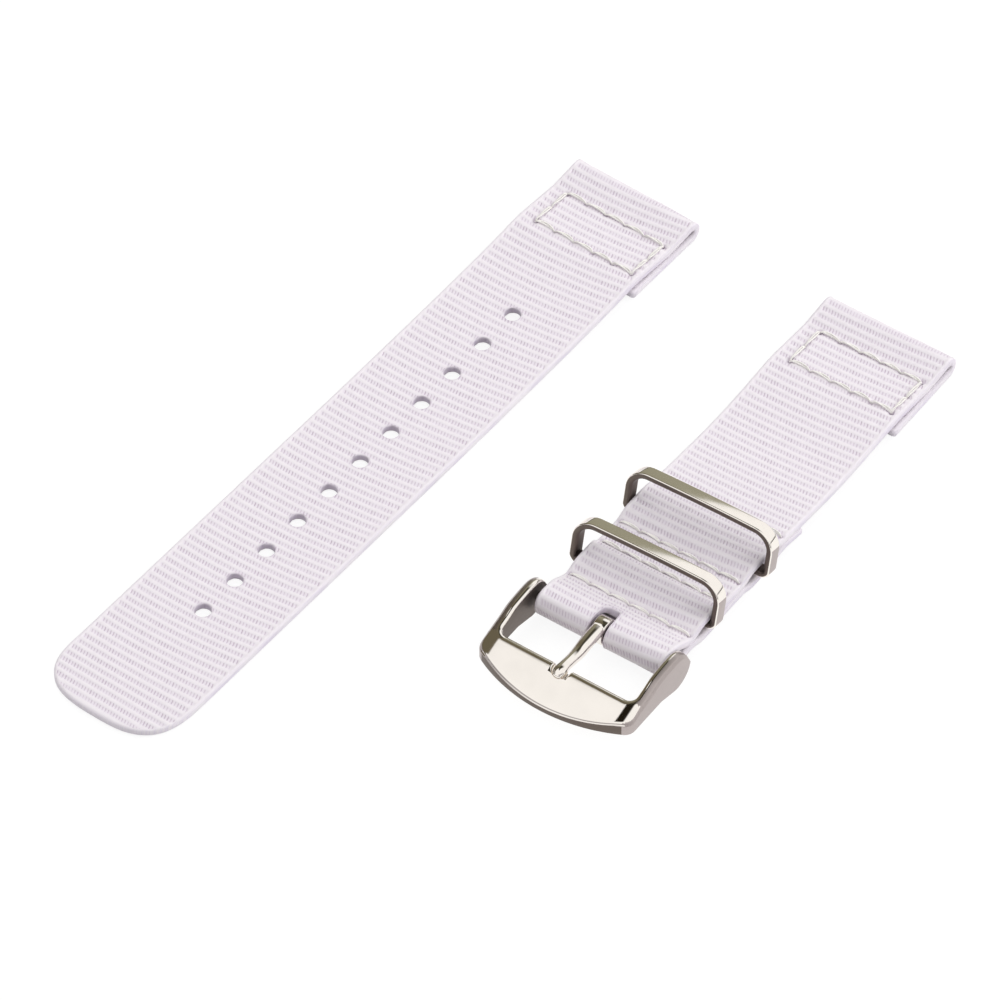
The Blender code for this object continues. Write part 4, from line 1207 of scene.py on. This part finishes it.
def build_tang(place, material):
    """The tang: a bent rod with a rounded tip, and the eye that turns on the spring bar."""
    keys = [(y, z, girth) for (y, z), girth in zip(tang_line(), TANG_GIRTH_SHARES)]
    path = [point for point in smooth_through(keys, 10) if point[0] < -TANG_ROOT]
    stations = []
    for i, (y, z, girth) in enumerate(path):
        before = path[max(i - 1, 0)]
        after = path[min(i + 1, len(path) - 1)]
        along = Vector((0, after[0] - before[0], after[1] - before[1])).normalized()
        stations.append((Vector((0, y, z)), along, TANG_DIAMETER / 2 * girth))
    tip, last_along, start = stations[-1]
    for k in range(1, 6):
        a = math.radians(15 * k)
        stations.append((tip + last_along * start * 0.55 * math.sin(a), last_along, start * math.cos(a)))
    rod = []
    for centre, along, radius in stations:
        upward = Vector((0, along.z, -along.y))
        rod.append([place @ (centre + Vector((radius * c - TANG_SHIFT, 0, 0)) + upward * radius * s)
                    for c, s in circle(32)])
    half = TANG_DIAMETER / 2 - TANG_EYE_ROUNDING
    outer = TANG_EYE_DIAMETER / 2 - TANG_EYE_ROUNDING
    bore = BAR_DIAMETER / 2 + BAR_CLEARANCE
    profile = arc((half, outer), TANG_EYE_ROUNDING, 0, 90, 5)
    profile += arc((-half, outer), TANG_EYE_ROUNDING, 90, 180, 5)
    profile += [(-TANG_DIAMETER / 2, bore), (TANG_DIAMETER / 2, bore)]
    eye = [[place @ Vector((u - TANG_SHIFT, r * c, r * s)) for u, r in profile] for c, s in circle(56)]
    bm = bmesh.new()
    skin(bm, rod)
    skin(bm, eye, True)
    mesh = smooth_mesh(bm, "tang_polished", [material])
    mesh.set_sharp_from_angle(angle=math.radians(40))
    return put_in_scene("tang_polished", mesh)


# Studio

def world_light():
    """A soft white studio: an olive screen on the left, a dark gap overhead, a dark line at the horizon."""
    n = Nodes(bpy.data.worlds.new("studio"))
    bpy.context.scene.world = n.owner
    n.tree.nodes.clear()
    direction = n.add("TexCoord").outputs["Generated"]
    x, y, z = n.add("SeparateXYZ", {0: direction}).outputs

    def along(*way):
        """How far a direction goes along a given one."""
        return n.add("VectorMath", {0: direction, 1: way}, operation="DOT_PRODUCT").outputs["Value"]

    white = colour(1.02, 1.015, 1.01)
    screen = n.mix(n.remap(y, 0.15, 0.85), colour(0.14, 0.12, 0.08), colour(0.33, 0.32, 0.24))
    beside = n.times(n.remap(along(-0.556, 0.694, -0.148), 0.035, 0.065),
                     n.remap(along(-1.0, -0.30, -0.292), -0.0195, -0.0155))
    gap_edge = n.plus(n.times(n.math("MAXIMUM", y), 0.75), 0.10)
    gap = n.times(n.remap(along(0.897, 0.286, 0.337), 0.005, 0.03),
                  n.remap(n.math("DIVIDE", x, gap_edge), 0.2, 1.0, 1, 0))
    gap = n.times(n.times(gap, n.remap(y, 0.50, 0.66, 1, 0)), n.remap(y, -0.45, -0.25))
    front = n.mix(n.remap(y, -0.5, 0.1), colour(0.42, 0.40, 0.41), white)
    low = n.mix(n.remap(z, 0.25, 0.45), front, white)
    depth = n.mix(n.remap(y, -0.02, 0.14), colour(0.014, 0.011, 0.006), colour(0.060, 0.055, 0.038))
    sided = n.mix(beside, n.mix(gap, low, depth), screen)
    sky = n.mix(n.remap(z, 0.02, 0.10), colour(0.10, 0.09, 0.08), sided)
    rays = n.add("LightPath").outputs
    mirrored = n.math("MAXIMUM", rays["Is Glossy Ray"], rays["Is Transmission Ray"])
    level = n.plus(n.times(mirrored, 1 - SKY_LEVEL), SKY_LEVEL)
    lamp = n.add("Background", {"Color": sky, "Strength": level}).outputs[0]
    seen = n.add("Background", {"Color": colour(1, 1, 1)}).outputs[0]
    shown = n.add("MixShader", {0: rays["Is Camera Ray"], 1: lamp, 2: seen}).outputs[0]
    n.add("OutputWorld", {0: shown})


def floor_material():
    """A table that is white to the eye and in the metal where nothing shades it, and keeps the shadow."""
    n = Nodes(bpy.data.materials.new("pale_floor"))
    n.tree.nodes.clear()
    rays = n.add("LightPath").outputs
    seen = n.math("MAXIMUM", n.math("MAXIMUM", rays["Is Camera Ray"], rays["Is Glossy Ray"]),
                  rays["Is Transmission Ray"])
    shaded = n.add("BsdfDiffuse", {"Color": colour(0.16, 0.16, 0.16)}).outputs[0]
    glow = n.add("Emission", {"Color": colour(1, 1, 1), "Strength": 0.89}).outputs[0]
    both = n.add("AddShader", {0: shaded, 1: glow}).outputs[0]
    plain = n.add("BsdfDiffuse", {"Color": colour(0.80, 0.80, 0.80)}).outputs[0]
    n.add("OutputMaterial", {0: n.add("MixShader", {0: seen, 1: plain, 2: both}).outputs[0]})
    return n.owner


def build_studio():
    bm = bmesh.new()
    bmesh.ops.create_grid(bm, x_segments=8, y_segments=8, size=1.5)
    mesh = bpy.data.meshes.new("table_floor")
    bm.to_mesh(mesh)
    bm.free()
    mesh.materials.append(floor_material())
    table = put_in_scene("table_floor", mesh)
    table.location = (0, 0, -FLOOR_GAP)
    world_light()
    for name, place, size, radiance in SOFTBOXES:
        light = bpy.data.lights.new(name, "AREA")
        light.shape = "SQUARE"
        light.size = size
        light.energy = math.pi * size * size * radiance
        lamp = put_in_scene(name, light)
        lamp.visible_glossy = False
        lamp.location = place
        lamp.rotation_euler = (-Vector(place)).to_track_quat("-Z", "Y").to_euler()


def build_camera(pair):
    a = CAMERA_AZIMUTH
    e = CAMERA_ELEVATION
    back = Vector((math.sin(a) * math.cos(e), -math.cos(a) * math.cos(e), math.sin(e)))
    right = Vector((math.cos(a), math.sin(a), 0))
    data = bpy.data.cameras.new("camera")
    data.sensor_width = 36
    data.lens = CAMERA_LENS
    data.clip_end = 20
    camera = put_in_scene("camera", data)
    turn = Matrix((right, back.cross(right), back)).transposed().to_4x4()
    turn.translation = pair + Vector((*CAMERA_AIM, 0)) + back * CAMERA_DISTANCE
    camera.matrix_world = turn
    bpy.context.scene.camera = camera


def finish_node(name, material):
    """Give a carried-over CAD node its finish."""
    node = frame["nodes"][name]
    for slot in node.material_slots:
        slot.material = material


def dress(piece, slot, body, *nodes):
    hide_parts(*nodes)
    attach(piece, body)


def main():
    bpy.context.scene.view_settings.view_transform = "Standard"
    hinge = next(joint for joint in frame["joints"] if joint["name"] == "frame_hinge")
    bar = Vector(hinge["pos_m"])
    turn = Matrix.Rotation(-BUCKLE_YAW, 4, "Z")
    bar_place = Matrix.Translation(bar) @ turn
    buckle_origin = bar - turn @ Vector((-FRAME_SHIFT, 0, BAR_HEIGHT))
    pair = buckle_origin + Vector((BUCKLE_OFFSET, 0, 0))
    buckle_place = Matrix.Translation(buckle_origin) @ turn
    tail_place = Matrix.Translation(pair + Vector((-TAIL_OFFSET, TAIL_AHEAD, 0)))
    tail_place = tail_place @ Matrix.Rotation(-TAIL_YAW, 4, "Z")

    nylon = nylon_material()
    thread = thread_material()
    finishes = [
        metal_material("polished_nickel", (0.95, 0.90, 0.84), 0.03, 0.05, (900, 900, 900), 0.0000008),
        metal_material("shade_painted_nickel", (0.16, 0.13, 0.112), 0.30, 0.16, (5000, 600, 5000), 0.000004),
        # Nickel painted dark as shade and shadowed reflection, for inner and front faces
        metal_material("brushed_nickel", (0.50, 0.44, 0.425), 0.30, 0.10, (2500, 2500, 5000), 0.000003)]
    plain = metal_material("turned_steel", (0.56, 0.55, 0.53), 0.25, 0.12, (9000, 500, 500), 0.000002)
    spring = metal_material("spring_wire", (0.42, 0.41, 0.40), 0.28, 0.12, (3000, 3000, 3000), 0.000002)

    tail = Path(tail_stations(), tail_place)
    buckle = Path(buckle_stations(), buckle_place)
    threads = {}
    for half, path, reach in (("tail", tail, TAIL_LUG_REACH), ("buckle", buckle, BUCKLE_LUG_REACH)):
        threads[f"{half}_box_upper"] = (half, path, box_runs(path, reach, True), TOP_GROOVE, UPPER_LIFT)
        threads[f"{half}_box_bobbin"] = (half, path, box_runs(path, reach, False), FLAP_GROOVE, FLAP_LIFT)
    for name, y in (("bar_row", ROW_BY_BAR), ("lower_keeper_row", ROW_ABOVE_LOWER),
                    ("upper_keeper_row", ROW_BELOW_UPPER), ("fold_end_row", ROW_BY_FOLD_END)):
        threads[f"{name}_upper"] = ("buckle", buckle, row_runs(buckle, y, True), TOP_GROOVE, UPPER_LIFT)
        threads[f"{name}_bobbin"] = ("buckle", buckle, row_runs(buckle, y, False), TOP_GROOVE, 0.0)

    holes = []
    for k in range(HOLE_COUNT):
        at = tail.find(-k * HOLE_PITCH, True)
        holes.append(Opening(HOLE_SHIFT, at, HOLE_DIAMETER / 2, HOLE_DIAMETER / 2, 2, k + 1))
    tail_web = build_webbing("tail_webbing_woven", tail, holes, seam_marks(threads, "tail"),
                             tail.length, 1.0, tail.length - (TIP_ROUNDING - EDGE_INSET))
    slot_start = buckle.find(SLOT_REACH, True)
    slot_end = buckle.find(SLOT_REACH, False)
    slot = Opening(-TANG_SHIFT - FRAME_SHIFT, (slot_start + slot_end) / 2, SLOT_WIDTH / 2,
                   (slot_end - slot_start) / 2, 5, 3)
    buckle_web = build_webbing("buckle_webbing_woven", buckle, [slot], seam_marks(threads, "buckle"),
                               slot_end, BUCKLE_BOW_SHARE)
    for piece, half in ((tail_web, "tail"), (buckle_web, "buckle")):
        piece.data.materials.append(nylon)
        dress(piece, "white_nylon_webbing", f"{half}_strap", f"{half}_webbing")
    for label, (half, path, runs, _, lift) in threads.items():
        stitch_piece(label, path, runs, thread, f"{half}_strap", lift)

    pocket_middle = WEB_THICK + POCKET_HEIGHT / 2
    lean = Matrix.Rotation(KEEPER_YAW, 4, "Z") @ Matrix.Rotation(-KEEPER_LEAN, 4, "X")
    for name, shift, y, lift in (("keeper_lower", LOWER_KEEPER_SHIFT, LOWER_KEEPER_AT, LOWER_POCKET_LIFT),
                                 ("keeper_upper", UPPER_KEEPER_SHIFT, UPPER_KEEPER_AT, 0)):
        place = buckle_place @ Matrix.Translation((shift, y, pocket_middle + lift)) @ lean
        dress(build_keeper(f"{name}_polished", place, finishes), "polished_nickel_steel", name, name)
    dress(build_frame(bar_place, finishes), "polished_nickel_steel", "frame", "buckle_frame")
    dress(build_tang(bar_place, finishes[0]), "polished_nickel_steel", "tang", "tang")
    for name in ("spring_bar_tube", "spring_bar_pin_left", "spring_bar_pin_right"):
        finish_node(name, plain)
    finish_node("spring_bar_coil", spring)

    build_studio()
    build_camera(pair)


main()
